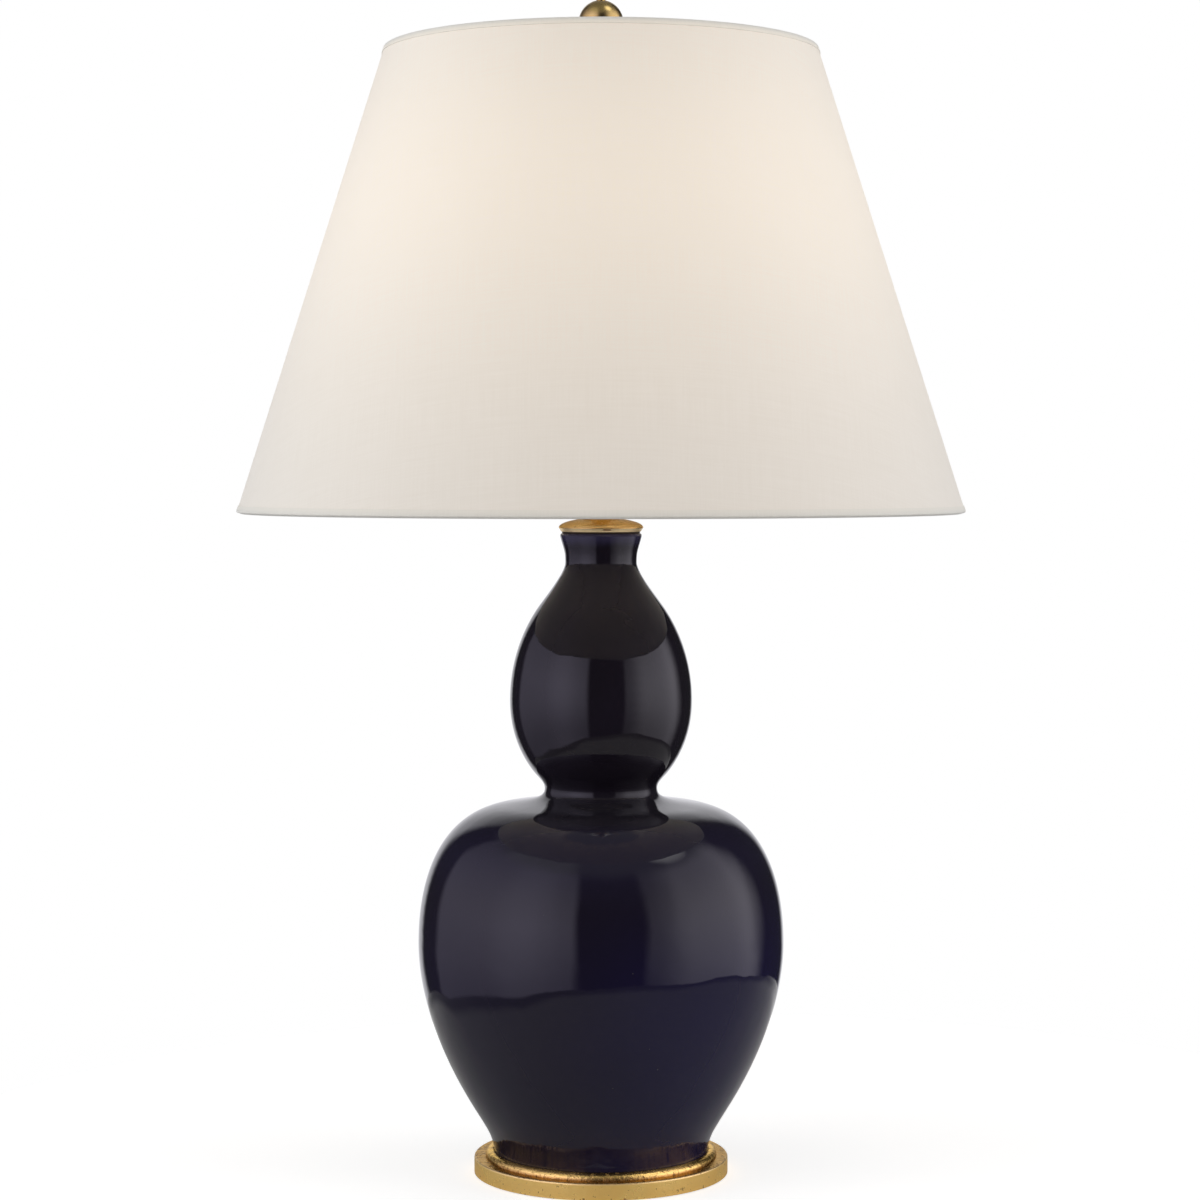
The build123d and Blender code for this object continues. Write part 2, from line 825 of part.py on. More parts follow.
def harp_bow():
    """Lyre-shaped bow of round wire, half lapped at its feet and flattened under the stud."""
    foot = saddle_shoulder + harp_lap_gap
    knee = saddle_shoulder + harp_leg_straight
    swell = knee + harp_swell_height
    legs = []
    for side in (-1, 1):
        legs.append(
            FilletPolyline(
                (side * harp_foot_offset, foot),
                (side * harp_foot_offset, knee),
                (side * harp_half_width, swell),
                (side * harp_half_width, harp_spring_level),
                radius=harp_swell_bend,
            )
        )
    arch = ThreePointArc(
        (-harp_half_width, harp_spring_level), (0, harp_axis_top), (harp_half_width, harp_spring_level)
    )
    path = Plane.XZ * Wire((Curve() + legs + arch).edges())
    wire = sweep(Plane(origin=path @ 0, z_dir=path % 0) * Circle(harp_wire_radius), path=path)
    pad = Pos(0, 0, harp_axis_top) * Cylinder(harp_pad_radius, harp_pad_thickness)
    span = 2 * harp_half_width
    bow = wire + pad - Pos(0, 0, platform_level + span / 2) * Box(span, span, span)
    rivet_seat = harp_axis_top - harp_pad_thickness / 2
    bow -= Pos(0, 0, rivet_seat - harp_pad_thickness) * Cylinder(harp_pad_radius, 2 * harp_pad_thickness)
    bow -= Pos(0, 0, harp_axis_top) * Cylinder(rivet_radius + rivet_clearance, 3 * harp_pad_thickness)
    lap_top = saddle_shoulder + saddle_peg_height + harp_lap_gap
    lap_height = lap_top - saddle_shoulder + 1
    lap = Box(2 * (harp_foot_offset + harp_lap_gap / 2), 4 * harp_wire_radius, lap_height)
    return bow - Pos(0, 0, lap_top - lap_height / 2) * lap


def harp_stud():
    """Riveted stud: a platform for the shade's fitter and a thread for the finial."""
    pad_base = harp_axis_top - harp_pad_thickness / 2
    tip = fitter_level + stud_thread_length
    chamfer = stud_thread_radius * 0.25
    return turned(
        Polyline(
            (0, pad_base - rivet_head_height),
            (rivet_head_radius * 0.7, pad_base - rivet_head_height),
            (rivet_head_radius, pad_base - rivet_head_height * 0.4),
            (rivet_head_radius, pad_base),
            (rivet_radius, pad_base),
            (rivet_radius, platform_level),
            (stud_platform_radius, platform_level),
            (stud_platform_radius, fitter_level),
            (stud_thread_radius, fitter_level),
            (stud_thread_radius, tip - chamfer),
            (stud_thread_radius - chamfer, tip),
            (0, tip),
            close=True,
        )
    )


def harp_sleeve(side):
    """Sleeve that drops over a foot of the harp and its saddle peg, with a lip to lift it by."""
    low = saddle_shoulder + sleeve_rest_gap
    bore = harp_wire_radius + sleeve_clearance
    lip = sleeve_radius + sleeve_lip
    sleeve = turned(
        Polyline(
            (bore, low),
            (lip, low),
            (lip, low + sleeve_lip_height),
            (sleeve_radius, low + sleeve_lip_height + sleeve_lip),
            (sleeve_radius, low + sleeve_length),
            (bore, low + sleeve_length),
            close=True,
        )
    )
    return Pos(side * harp_foot_offset, 0, 0) * sleeve


slant_length = sqrt(shade_height**2 + (shade_bottom_radius - shade_top_radius) ** 2)


def on_slant(down, out):
    """A (radius, height) point: down the shade's slant from its top edge, and out from its face."""
    run = (shade_bottom_radius - shade_top_radius) / slant_length
    fall = shade_height / slant_length
    return (shade_top_radius + run * down + fall * out, shade_top - fall * down + run * out)


def slant_panel(start, end, inner, outer):
    """Outline of a strip of the shade's wall between two depths."""
    return Polyline(
        on_slant(start, inner),
        on_slant(start, outer),
        on_slant(end, outer),
        on_slant(end, inner),
        close=True,
    )


liner_face = -(fabric_thickness + lamination_gap)
liner_back = liner_face - liner_sheet
ring_depth = liner_back - ring_gap - ring_wire_radius
trim_back = ring_depth - ring_wire_radius - ring_play
ring_inset = trim_thickness + ring_play + ring_wire_radius


def shade_fabric():
    """Linen cone with its overlapped seam at the back."""
    start, end = shade_edge_inset, slant_length - shade_edge_inset
    cone = turned(slant_panel(start, end, -fabric_thickness, 0))
    seam_turn = degrees(seam_width / shade_bottom_radius)
    seam_start, seam_end = trim_height + trim_gap, slant_length - trim_height - trim_gap
    strip = make_face(slant_panel(seam_start, seam_end, -fabric_thickness / 2, seam_thickness))
    seam = revolve(Plane.XZ * strip, Axis.Z, revolution_arc=seam_turn)
    return cone + Rot(0, 0, 90 - seam_turn / 2) * seam


def shade_liner():
    start, end = shade_edge_inset, slant_length - shade_edge_inset
    return turned(slant_panel(start, end, liner_back, liner_face))


def wire_ring(down):
    """A hoop of wire inside the hem."""
    radius, height = on_slant(down, ring_depth)
    return Pos(0, 0, height) * Torus(radius, ring_wire_radius)


def top_ring():
    return wire_ring(ring_inset)


def bottom_ring():
    return wire_ring(slant_length - ring_inset)


def hem(edge, direction):
    """Bias tape folded round an edge of the shade and its ring; direction is 1 at the top edge.
    It bends once over the linen's edge and once, wider, round the wire."""
    thin = trim_thickness
    face = trim_gap / 4
    leg = trim_height
    front_bend = 2 * thin
    front_out = face + thin - front_bend
    back_bend = ring_inset
    rear = trim_back - thin

    def at(depth, out):
        return on_slant(edge + direction * depth, out)

    def quarter(depth, out, radius, start):
        """A quarter turn about a point, from the start angle on, in three flats."""
        turns = [radians(start + step) for step in (0, 30, 60, 90)]
        return [at(depth + radius * cos(turn), out + radius * sin(turn)) for turn in turns]

    outline = Polyline(
        at(leg, face + thin),
        *quarter(front_bend, front_out, front_bend, 90),
        *quarter(back_bend, ring_depth, back_bend, 180),
        at(leg, rear),
        at(leg, trim_back),
        *quarter(back_bend, ring_depth, back_bend - thin, 180)[::-1],
        *quarter(front_bend, front_out, front_bend - thin, 90)[::-1],
        at(leg, face),
        close=True,
    )
    return turned(outline)


def fitter_arm_rods(radius):
    """The spider's arms as plain rods, from the washer out to the upper ring."""
    ring_radius, ring_height = on_slant(ring_inset, ring_depth)
    root_radius = fitter_washer_radius - fitter_arm_radius
    root_height = fitter_level + fitter_washer_thickness / 2
    arms = []
    for index in range(fitter_arm_count):
        turn = radians(90 + 360 / fitter_arm_count * index)
        root = (root_radius * cos(turn), root_radius * sin(turn), root_height)
        tip = (ring_radius * cos(turn), ring_radius * sin(turn), ring_height)
        arms.append(rod(radius, root, tip))
    return arms


def spider_arms():
    """Straight arms, welded to the washer and to the ring."""
    arms = fitter_arm_rods(fitter_arm_radius)
    return Compound(children=[arm - spider_washer() - top_ring() for arm in arms])


def spider_washer():
    return turned_ring(fitter_hole_radius, fitter_washer_radius, fitter_level, finial_base)


def top_trim():
    tape = hem(0, 1)
    for arm in fitter_arm_rods(fitter_arm_radius + fitter_arm_clearance):
        tape -= arm
    return tape


def bottom_trim():
    return hem(slant_length, -1)


def finial():
    """Foot, waist, ball and a small nub on top, with a blind threaded hole below."""
    ball_centre = finial_base + finial_pedestal_height + finial_ball_radius
    foot_top = finial_base + finial_foot_thickness
    neck_drop = sqrt(finial_ball_radius**2 - finial_waist_radius**2)
    neck = (finial_waist_radius, ball_centre - neck_drop)
    nub_drop = sqrt(finial_ball_radius**2 - finial_nub_radius**2)
    nub = (finial_nub_radius, ball_centre + nub_drop)
    crown = ball_centre + finial_ball_radius + finial_nub_height
    cove = Bezier(
        (finial_foot_radius, foot_top),
        (finial_waist_radius, foot_top + (neck[1] - foot_top) * 0.2),
        (finial_waist_radius, foot_top + (neck[1] - foot_top) * 0.5),
        neck,
    )
    ball = ThreePointArc(neck, (finial_ball_radius, ball_centre), nub)
    nub_round = min(finial_nub_radius, finial_nub_height) * 0.5
    nub_edge = (finial_nub_radius, crown - nub_round)
    nub_top = (finial_nub_radius - nub_round, crown)
    nub_side = Line(nub, nub_edge)
    nub_corner = RadiusArc(nub_edge, nub_top, -nub_round)
    core = Polyline(
        nub_top,
        (0, crown),
        (0, finial_base),
        (finial_foot_radius, finial_base),
        (finial_foot_radius, foot_top),
    )
    body = turned(cove + ball + nub_side + nub_corner + core)
    bore = stud_thread_radius + finial_bore_clearance
    bore_end = fitter_level + stud_thread_length + finial_bore_spare
    return body - rod(bore, (0, 0, fitter_level), (0, 0, bore_end))


pieces = {
    "felt_pad": felt_pad,
    "base_plinth": base_plinth,
    "cord_bushing": cord_bushing,
    "foot_gasket": foot_gasket,
    "gourd_body": gourd_body,
    "cap_gasket": cap_gasket,
    "neck_cap": neck_cap,
    "threaded_pipe": threaded_pipe,
    "base_washer": base_washer,
    "base_lock_washer": base_lock_washer,
    "base_nut": base_nut,
    "neck_spindle": neck_spindle,
    "harp_saddle": harp_saddle,
    "saddle_nut": saddle_nut,
    "socket_cap": socket_cap,
    "socket_set_screw": socket_set_screw,
    "socket_shell": socket_shell,
    "socket_liner": socket_liner,
    "socket_body": socket_body,
    "terminal_screws": terminal_screws,
    "screw_shell": screw_shell,
    "centre_contact": centre_contact,
    "switch_shaft": switch_shaft,
    "switch_knob": switch_knob,
    "bulb_glass": bulb_glass,
    "bulb_screw_cap": bulb_screw_cap,
    "bulb_insulator": bulb_insulator,
    "bulb_tip": bulb_tip,
    "bulb_stem": bulb_stem,
    "bulb_filament": bulb_filament,
    "harp_bow": harp_bow,
    "harp_stud": harp_stud,
    "harp_sleeve_left": lambda: harp_sleeve(-1),
    "harp_sleeve_right": lambda: harp_sleeve(1),
    "shade_fabric": shade_fabric,
    "shade_liner": shade_liner,
    "top_ring": top_ring,
    "bottom_ring": bottom_ring,
    "top_trim": top_trim,
    "bottom_trim": bottom_trim,
    "spider_arms": spider_arms,
    "spider_washer": spider_washer,
    "finial": finial,
}

os.makedirs("parts", exist_ok=True)
for name, make in pieces.items():
    export_step(make(), f"parts/{name}.step")
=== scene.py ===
from math import pi, radians, sqrt

import bmesh
import bpy
import numpy as np
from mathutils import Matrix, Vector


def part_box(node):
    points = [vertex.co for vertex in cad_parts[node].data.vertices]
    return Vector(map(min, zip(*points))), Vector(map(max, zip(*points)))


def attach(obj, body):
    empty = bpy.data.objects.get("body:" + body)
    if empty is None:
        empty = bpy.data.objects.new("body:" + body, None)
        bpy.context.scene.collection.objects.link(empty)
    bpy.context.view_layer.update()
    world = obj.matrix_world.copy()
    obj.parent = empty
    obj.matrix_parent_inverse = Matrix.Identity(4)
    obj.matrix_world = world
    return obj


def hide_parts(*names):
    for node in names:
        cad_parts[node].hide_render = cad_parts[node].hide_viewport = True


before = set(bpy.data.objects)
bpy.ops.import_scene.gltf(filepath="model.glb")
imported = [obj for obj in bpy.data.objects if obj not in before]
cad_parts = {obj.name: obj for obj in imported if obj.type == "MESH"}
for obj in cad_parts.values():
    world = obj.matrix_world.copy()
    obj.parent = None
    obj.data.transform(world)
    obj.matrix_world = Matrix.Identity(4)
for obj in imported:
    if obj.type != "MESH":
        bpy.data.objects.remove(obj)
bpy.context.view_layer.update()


# Felt pad: a disc of dark green wool felt, punched from sheet and glued into the recess
# under the plinth. It stands a little proud of the wood, so the lamp rests on it.
class Tone:
    """A shader socket in Python maths: each operator adds the Math node that works it out."""

    def __init__(self, tree, socket=None):
        self.tree = tree
        self.socket = socket

    def node(self, kind, sockets=None, output=0, **settings):
        """Adds a node: its settings first, then its sockets' values or links."""
        made = self.tree.nodes.new("ShaderNode" + kind)
        for name, value in settings.items():
            setattr(made, name, value)
        for name, value in (sockets or {}).items():
            if isinstance(value, Tone):
                self.tree.links.new(value.socket, made.inputs[name])
            else:
                made.inputs[name].default_value = value
        return Tone(self.tree, made.outputs[output] if made.outputs else None)

    def __add__(self, other):
        return maths("ADD", self, other)

    def __sub__(self, other):
        return maths("SUBTRACT", self, other)

    def __rsub__(self, other):
        return maths("SUBTRACT", other, self)

    def __mul__(self, other):
        return maths("MULTIPLY", self, other)

    def __truediv__(self, other):
        return maths("DIVIDE", self, other)

    def __rtruediv__(self, other):
        return maths("DIVIDE", other, self)

    def __pow__(self, other):
        return maths("POWER", self, other)

    def __rpow__(self, other):
        return maths("POWER", other, self)

    def __abs__(self):
        return maths("ABSOLUTE", self)

    __radd__ = __add__
    __rmul__ = __mul__


def maths(operation, *values):
    """A Math node on one or two values, of which at least one is a Tone."""
    tone = next(value for value in values if isinstance(value, Tone))
    return tone.node("Math", dict(enumerate(values)), operation=operation)


def new_finish(name):
    """A bare material, and the Object coordinates that its patterns start from."""
    material = bpy.data.materials.new(name)
    material.use_nodes = True
    material.node_tree.nodes.clear()
    return material, Tone(material.node_tree).node("TexCoord", output="Object")


def set_surface(place, sockets):
    """The material's shader: constants stand on its own sockets, and Tones are linked to them."""
    shader = place.node("BsdfPrincipled", sockets)
    place.node("OutputMaterial", {"Surface": shader})


def noise(place, scale, detail=2.0, distortion=0.0, finer=None):
    """A noise of about 0 to 1: scale waves to the metre, times the number that finer has for each axis."""
    if finer:
        place = place.node("Mapping", {"Vector": place, "Scale": finer})
    sockets = {"Vector": place, "Scale": scale, "Detail": detail, "Distortion": distortion}
    return place.node("TexNoise", sockets)


def rise(tone, low, high):
    """Climbs smoothly from 0 at low to 1 at high."""
    sockets = {"Value": tone, "From Min": low, "From Max": high}
    return tone.node("MapRange", sockets, interpolation_type="SMOOTHSTEP")


def mix(share, first, second):
    """The first colour where share is 0, the second where it is 1."""
    colours = [c if isinstance(c, Tone) else (*c, 1.0) for c in (first, second)]
    return share.node("Mix", {0: share, 6: colours[0], 7: colours[1]}, output=2, data_type="RGBA")


def bump(height, depth):
    """A Normal from a height of 0 to 1 that stands for depth metres."""
    return height.node("Bump", {"Height": height, "Distance": depth})


def skin(name, points, loop=False, cloth=None):
    """A grid of points (rows, columns, 3) as a mesh: each cell between four neighbours is a face.
    Columns close round, rows too where loop is true, and cloth gives each point's place on the cut."""
    weld_gap = 1e-7
    crease = radians(40)
    rows, columns = points.shape[:2]
    index = np.arange(rows * columns).reshape(rows, columns)
    index = np.hstack([index, index[:, :1]])
    if loop:
        index = np.vstack([index, index[:1]])
    cells = (slice(None, -1), slice(1, None))
    corners = [(cells[0], cells[0]), (cells[0], cells[1]), (cells[1], cells[1]), (cells[1], cells[0])]
    faces = np.stack([index[corner] for corner in corners], axis=-1).reshape(-1, 4)
    mesh = bpy.data.meshes.new(name)
    mesh.from_pydata(points.reshape(-1, 3).tolist(), [], faces.tolist())
    if cloth is not None:
        if loop:
            cloth = np.vstack([cloth, cloth[:1]])
        layer = mesh.uv_layers.new(name="cut")
        layer.uv.foreach_set("vector", np.stack([cloth[corner] for corner in corners], axis=-2).ravel())
    shell = bmesh.new()
    shell.from_mesh(mesh)
    bmesh.ops.remove_doubles(shell, verts=shell.verts, dist=weld_gap)
    shell.to_mesh(mesh)
    shell.free()
    mesh.polygons.foreach_set("use_smooth", np.ones(len(mesh.polygons), bool))
    mesh.set_sharp_from_angle(angle=crease)
    piece = bpy.data.objects.new(name, mesh)
    bpy.context.collection.objects.link(piece)
    return piece


def circle(count):
    """Angles at even steps round one turn."""
    return np.linspace(0, 2 * pi, count, endpoint=False)


def turned(radius, height, around):
    """Carries an outline round the upright axis: x = r cos, y = r sin of each angle, z = the height."""
    radius, height, around = np.broadcast_arrays(radius, height, around)
    return np.stack([radius * np.cos(around), radius * np.sin(around), height], axis=-1)


felt_low, felt_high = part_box("felt_pad")
felt_thickness = felt_high.z - felt_low.z
felt_fray = 0.0002
felt_hollow = 0.00004
felt_around = circle(240)
felt_reach = np.array([0, 0.2, 0.4, 0.6, 0.8, 0.97, 0.995, 1.0, 0.995, 0.97, 0.5, 0])[:, None]
felt_rise = np.array([0, 0, 0, 0, 0, 0, 0.15, 0.5, 0.85, 1, 1, 1])[:, None]
felt_ragged = felt_fray * (1 + np.sin(37 * felt_around) * np.cos(23 * felt_around))
felt_dent = felt_hollow * (1 + np.sin(9 * felt_around + 11 * felt_reach)) * felt_reach
felt_pad = skin(
    "felt_pad_cut",
    turned(
        felt_reach * (felt_high.x - felt_ragged),
        felt_low.z + felt_rise * felt_thickness + felt_dent * (1 - felt_rise),
        felt_around,
    ),
)
felt, place = new_finish("felt")
felt_fibre = noise(place, 1400, 4, 1.5)
felt_cloud = noise(place, 60, 3)
felt_shade = felt_fibre * 0.7 + felt_cloud * 0.3
set_surface(
    place,
    {
        "Base Color": mix(felt_shade, (0.010, 0.024, 0.016), (0.040, 0.072, 0.050)),
        "Roughness": 0.95,
        "Sheen Weight": 0.5,
        "Normal": bump(felt_fibre, 0.0004),
    },
)
felt_pad.data.materials.append(felt)
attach(felt_pad, "base")
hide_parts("felt_pad")


# Plinth: a round of turned wood with a wall, a ledge and a bead, primed with red clay and
# laid with gold leaf, then rubbed back and toned, so that dark specks gather on the ledge.
def dress(finish, *nodes):
    """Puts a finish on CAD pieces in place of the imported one."""
    for name in nodes:
        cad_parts[name].material_slots[0].material = finish


def axes(vector, names="xyz"):
    """A vector's coordinates, in the order of their names."""
    return [vector.node("SeparateXYZ", {0: vector}, output=name.upper()) for name in names]


def between(tone, start, full, fade, end):
    """Climbs smoothly from 0 at start to 1 at full, and falls from 1 at fade to 0 at end."""
    return rise(tone, start, full) * (1 - rise(tone, fade, end))


def gild(name, leaf, deep, worn, burnished, toned, painted_highlight):
    """Gold leaf over clay: patches, upright laps, fine wrinkles, specks, rubbed places, and pale painted
    highlights.
    The last four take the Object coordinates' x, y and z, and give a share of 0 to 1."""
    material, place = new_finish(name)
    x, y, z = axes(place)
    polish = burnished(x, y, z)
    wear = worn(x, y, z)
    patches = rise(noise(place, 38, 4), 0.35, 0.65)
    laps = noise(place, 170, 3, finer=(1.0, 1.0, 0.12))
    grains = noise(place, 900, 5)
    specks = rise(noise(place, 420, 2, 0.8) + wear * 0.35, 0.66, 0.72)
    rubbed = rise(noise(place, 160, 5, 1.2) + wear, 0.70, 0.92)
    bare = maths("MAXIMUM", specks * 0.8, rubbed)
    pits = noise(place, 340, 3) * rise(wear, 0.06, 0.16)
    # Painted highlight: pale gold, with less metal, where light catches an edge.
    highlight_share = painted_highlight(x, y, z) * (0.6 + grains * 0.6)
    gold = mix(patches * 0.6 + laps * 0.4, leaf, deep)
    waxed = mix(toned(x, y, z) * (0.7 + grains * 0.6), gold, (0.40, 0.22, 0.07))
    gold_with_highlight = mix(highlight_share, waxed, (1.0, 0.79, 0.47))
    clay = mix(grains, (0.105, 0.036, 0.012), (0.24, 0.115, 0.045))
    relief = grains * 0.5 + patches * 0.5 + laps * 0.3 + pits * 1.3 - bare * 0.6
    set_surface(
        place,
        {
            "Base Color": mix(bare, gold_with_highlight, clay),
            "Metallic": 0.70 + polish * 0.30 - bare * 0.55 - highlight_share * 0.55,
            "Roughness": 0.26 - polish * 0.06 + patches * 0.06 + bare * 0.25,
            "Specular Tint": (0.92, 0.80, 0.56, 1.0),
            "Normal": bump(relief, 0.00025),
        },
    )
    return material


# Where each zone of the plinth starts, or starts and ends: the wall's face and the ledge's inner
# side are radii, and the rest are heights.
wall_foot = (0.0012, 0.0032)
wall_edge = (0.0106, 0.0113)
wall_face = (0.0876, 0.0884)
ledge_start = (0.0112, 0.0120)
ledge_band = (0.0112, 0.0119, 0.0136, 0.0146)
ledge_inner_side = (0.079, 0.082)
wax_end = (0.0128, 0.0142)
bead_crest = (0.0134, 0.0144)


def plinth_wear(x, y, z):
    """Most on the ledge inside the wall, a little on the wall's foot and along the bead."""
    on_ledge = between(z, *ledge_band) * rise((x * x + y * y) ** 0.5, *ledge_inner_side)
    at_foot = 1 - rise(z, *wall_foot)
    at_crest = rise(z, *bead_crest)
    return on_ledge * 0.17 + at_foot * 0.08 + at_crest * 0.14


def plinth_polish(x, y, z):
    """The ledge and the bead are burnished, and the wall is left satin."""
    return rise(z, *ledge_start)


def plinth_toning(x, y, z):
    """Brown toning wax stays on the ledge, up to the foot of the bead."""
    return between(z, *ledge_start, *wax_end) * 0.85


def plinth_edge_highlight(x, y, z):
    """A painted highlight: pale gold along the wall's upper edge, where light catches its rounded arris."""
    return rise(z, *wall_edge) * rise(x * x + y * y, *np.square(wall_face)) * 0.4


plinth_gilding = gild(
    "plinth_gilding",
    (0.98, 0.68, 0.23),
    (0.94, 0.61, 0.185),
    plinth_wear,
    plinth_polish,
    plinth_toning,
    plinth_edge_highlight,
)
dress(plinth_gilding, "base_plinth")


# Bushing: a flanged tube of black nylon, pressed into the hole in the back of the plinth
# where the flex would come out. Moulded, with a dull grained surface.
bushing, place = new_finish("black_nylon")
bushing_grain = noise(place, 2600, 3)
set_surface(
    place,
    {
        "Base Color": mix(bushing_grain, (0.010, 0.010, 0.011), (0.024, 0.024, 0.026)),
        "Roughness": 0.38 + bushing_grain * 0.25,
        "Normal": bump(bushing_grain, 0.00005),
    },
)
dress(bushing, "cord_bushing")


# Gaskets: two thin rings of cork and rubber, cut from sheet, that keep the glazed jar
# from grinding on the plinth below it and on the cap above it.
cork, place = new_finish("cork_rubber")
cork_crumb = place.node("TexVoronoi", {"Vector": place, "Scale": 700.0}, output="Color")
cork_shade = noise(place, 300, 3)
set_surface(
    place,
    {
        "Base Color": mix(cork_shade, (0.012, 0.008, 0.006), (0.040, 0.024, 0.015)),
        "Roughness": 0.85,
        "Normal": bump(cork_crumb, 0.00008),
    },
)
dress(cork, "foot_gasket", "cap_gasket")


# Jar: a double gourd of slip-cast stoneware in one thick coat of navy gloss glaze. It thins to
# violet over the lip, pools bluer on the right of the belly, and runs brown and violet at the foot.
# It lies in faint waves, with a few pinholes. A paler band at the waist and on the shoulder is painted
# light.
lip_edge = (0.4410, 0.4490)
waist_band = (0.242, 0.252, 0.262, 0.272)
shoulder_band = (0.196, 0.232, 0.248, 0.256)
belly_end = (0.12, 0.25)
foot_end = (0.027, 0.050)
run_start = (0.019, 0.032)
blue_side = (-0.04, 0.10)
violet_side = (-0.05, 0.01)
glaze, place = new_finish("navy_glaze")
jar_side, jar_height = axes(place, "xz")
glaze_cloud = noise(place, 14, 4, 0.6)
glaze_curtain = noise(place, 55, 3, finer=(1.0, 1.0, 0.25))
glaze_wave = noise(place, 20, 1)
glaze_ripple = noise(place, 160, 2)
at_lip = rise(jar_height + glaze_curtain * 0.004, *lip_edge)
at_foot = 1 - rise(jar_height + glaze_curtain * 0.022, *foot_end)
painted_waist_light = between(jar_height, *waist_band)
painted_shoulder_reflection = between(jar_height, *shoulder_band)
pooled = 1 - rise(jar_height, *belly_end)
to_right = rise(jar_side + glaze_cloud * 0.04, *blue_side)
pinholes = 1 - rise(place.node("TexVoronoi", {"Vector": place, "Scale": 95.0}), 0.035, 0.060)
pinholes = pinholes * rise(noise(place, 11, 2), 0.56, 0.62)
glaze_thin = mix(rise(glaze_cloud, 0.3, 0.7), (0.0086, 0.0068, 0.0112), (0.0096, 0.0074, 0.0138))
glaze_thick = mix(to_right, (0.0085, 0.0068, 0.0190), (0.0080, 0.0062, 0.0340))
glaze_body = mix(pooled, glaze_thin, glaze_thick)
# Painted light: paler grey at the waist, where the upper gourd shades the glaze, and bluer on the shoulder,
# where it mirrors the shade's lining.
glaze_with_waist_light = mix(painted_waist_light * 0.8, glaze_body, (0.017, 0.0155, 0.0215))
glaze_with_shoulder_reflection = mix(painted_shoulder_reflection * 0.8, glaze_with_waist_light, (0.0120, 0.0102, 0.0260))
glaze_lip = mix(at_lip, glaze_with_shoulder_reflection, (0.032, 0.028, 0.068))
glaze_run = at_foot * rise(glaze_ripple, 0.10, 0.60) * (0.3 + rise(jar_height, *run_start) * 0.7)
glaze_drip = mix(rise(jar_side, *violet_side), (0.019, 0.0150, 0.0120), (0.025, 0.0250, 0.055))
glaze_foot = mix(glaze_run, glaze_lip, glaze_drip)
set_surface(
    place,
    {
        "Base Color": mix(pinholes, glaze_foot, (0.022, 0.020, 0.028)),
        "Roughness": 0.035 + at_foot * 0.02 + pinholes * 0.3,
        "IOR": 1.38,
        "Normal": bump(glaze_wave + glaze_ripple * 0.008 - pinholes * 0.04, 0.0008),
    },
)
dress(glaze, "gourd_body")


# Cap: a low dome of turned wood with a spigot that drops into the jar's mouth, gilded like the plinth, a
# little browner on the crown. Its brim is undercut by a narrow bevel, where the leaf has chipped.
cap_low, cap_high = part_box("neck_cap")
cap_bore = 0.0053
cap_spigot = 0.0182
cap_spigot_length = 0.0080
cap_bevel_foot = 0.0279
cap_bevel_height = 0.0029
cap_bend_width = 0.0008
cap_bend_height = 0.00015
cap_shelf = 0.0150
cap_seat = cap_low.z + cap_spigot_length
cap_brim = cap_seat + cap_bevel_height
cap_around = circle(240)
brim_round = 0.0004
brim_turn = np.linspace(-pi / 2 * 0.7, 0, 7)
dome_turn = np.linspace(0, np.arccos(cap_shelf / cap_high.x), 30)
dome_rise = (cap_high.z - cap_brim) / np.sin(dome_turn[-1])
cap_radius = np.concatenate(
    [
        [cap_bore, cap_spigot, cap_spigot, cap_bevel_foot - cap_bend_width, cap_bevel_foot],
        cap_high.x - brim_round * (1 - np.cos(brim_turn)),
        cap_high.x * np.cos(dome_turn[1:]),
        [cap_bore],
    ]
)
cap_level = np.concatenate(
    [
        [cap_low.z, cap_low.z, cap_seat, cap_seat, cap_seat + cap_bend_height],
        cap_brim + brim_round * np.sin(brim_turn),
        cap_brim + dome_rise * np.sin(dome_turn[1:]),
        [cap_high.z],
    ]
)
gilded_cap = skin("gilded_cap", turned(cap_radius[:, None], cap_level[:, None], cap_around), loop=True)

bevel_band = (0.4498, 0.4504, 0.4528, 0.4536)
bevel_end = (0.4524, 0.4530)
crown_start = (0.4530, 0.4560)
chip_side = 0.0042
chip_level = 0.4519
chip_half_width = (0.0022, 0.0034)
chip_half_height = (0.0003, 0.0007)
front_end = (-0.02, 0)


def cap_wear(x, y, z):
    """Along the bevel, with one chip in front, where a tool slipped when the lamp was put together."""
    across = 1 - rise(abs(x - chip_side), *chip_half_width)
    upright = 1 - rise(abs(z - chip_level), *chip_half_height)
    in_front = 1 - rise(y, *front_end)
    return between(z, *bevel_band) * 0.02 + across * upright * in_front * 0.6


def cap_polish(x, y, z):
    """Burnished all over, most of all on the bevel."""
    return 1 - rise(z, *crown_start) * 0.3


def cap_crown_brown(x, y, z):
    """The crown is a little browner."""
    return rise(z, *crown_start) * 0.1


def cap_bevel_highlight(x, y, z):
    """A painted highlight: pale gold on the bevel under the brim, where it mirrors the bright floor in
    front.
    """
    return 1 - rise(z, *bevel_end)


gilded_cap.data.materials.append(
    gild(
        "cap_gilding",
        (0.98, 0.67, 0.27),
        (0.90, 0.54, 0.18),
        cap_wear,
        cap_polish,
        cap_crown_brown,
        cap_bevel_highlight,
    )
)
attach(gilded_cap, "base")
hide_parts("neck_cap")


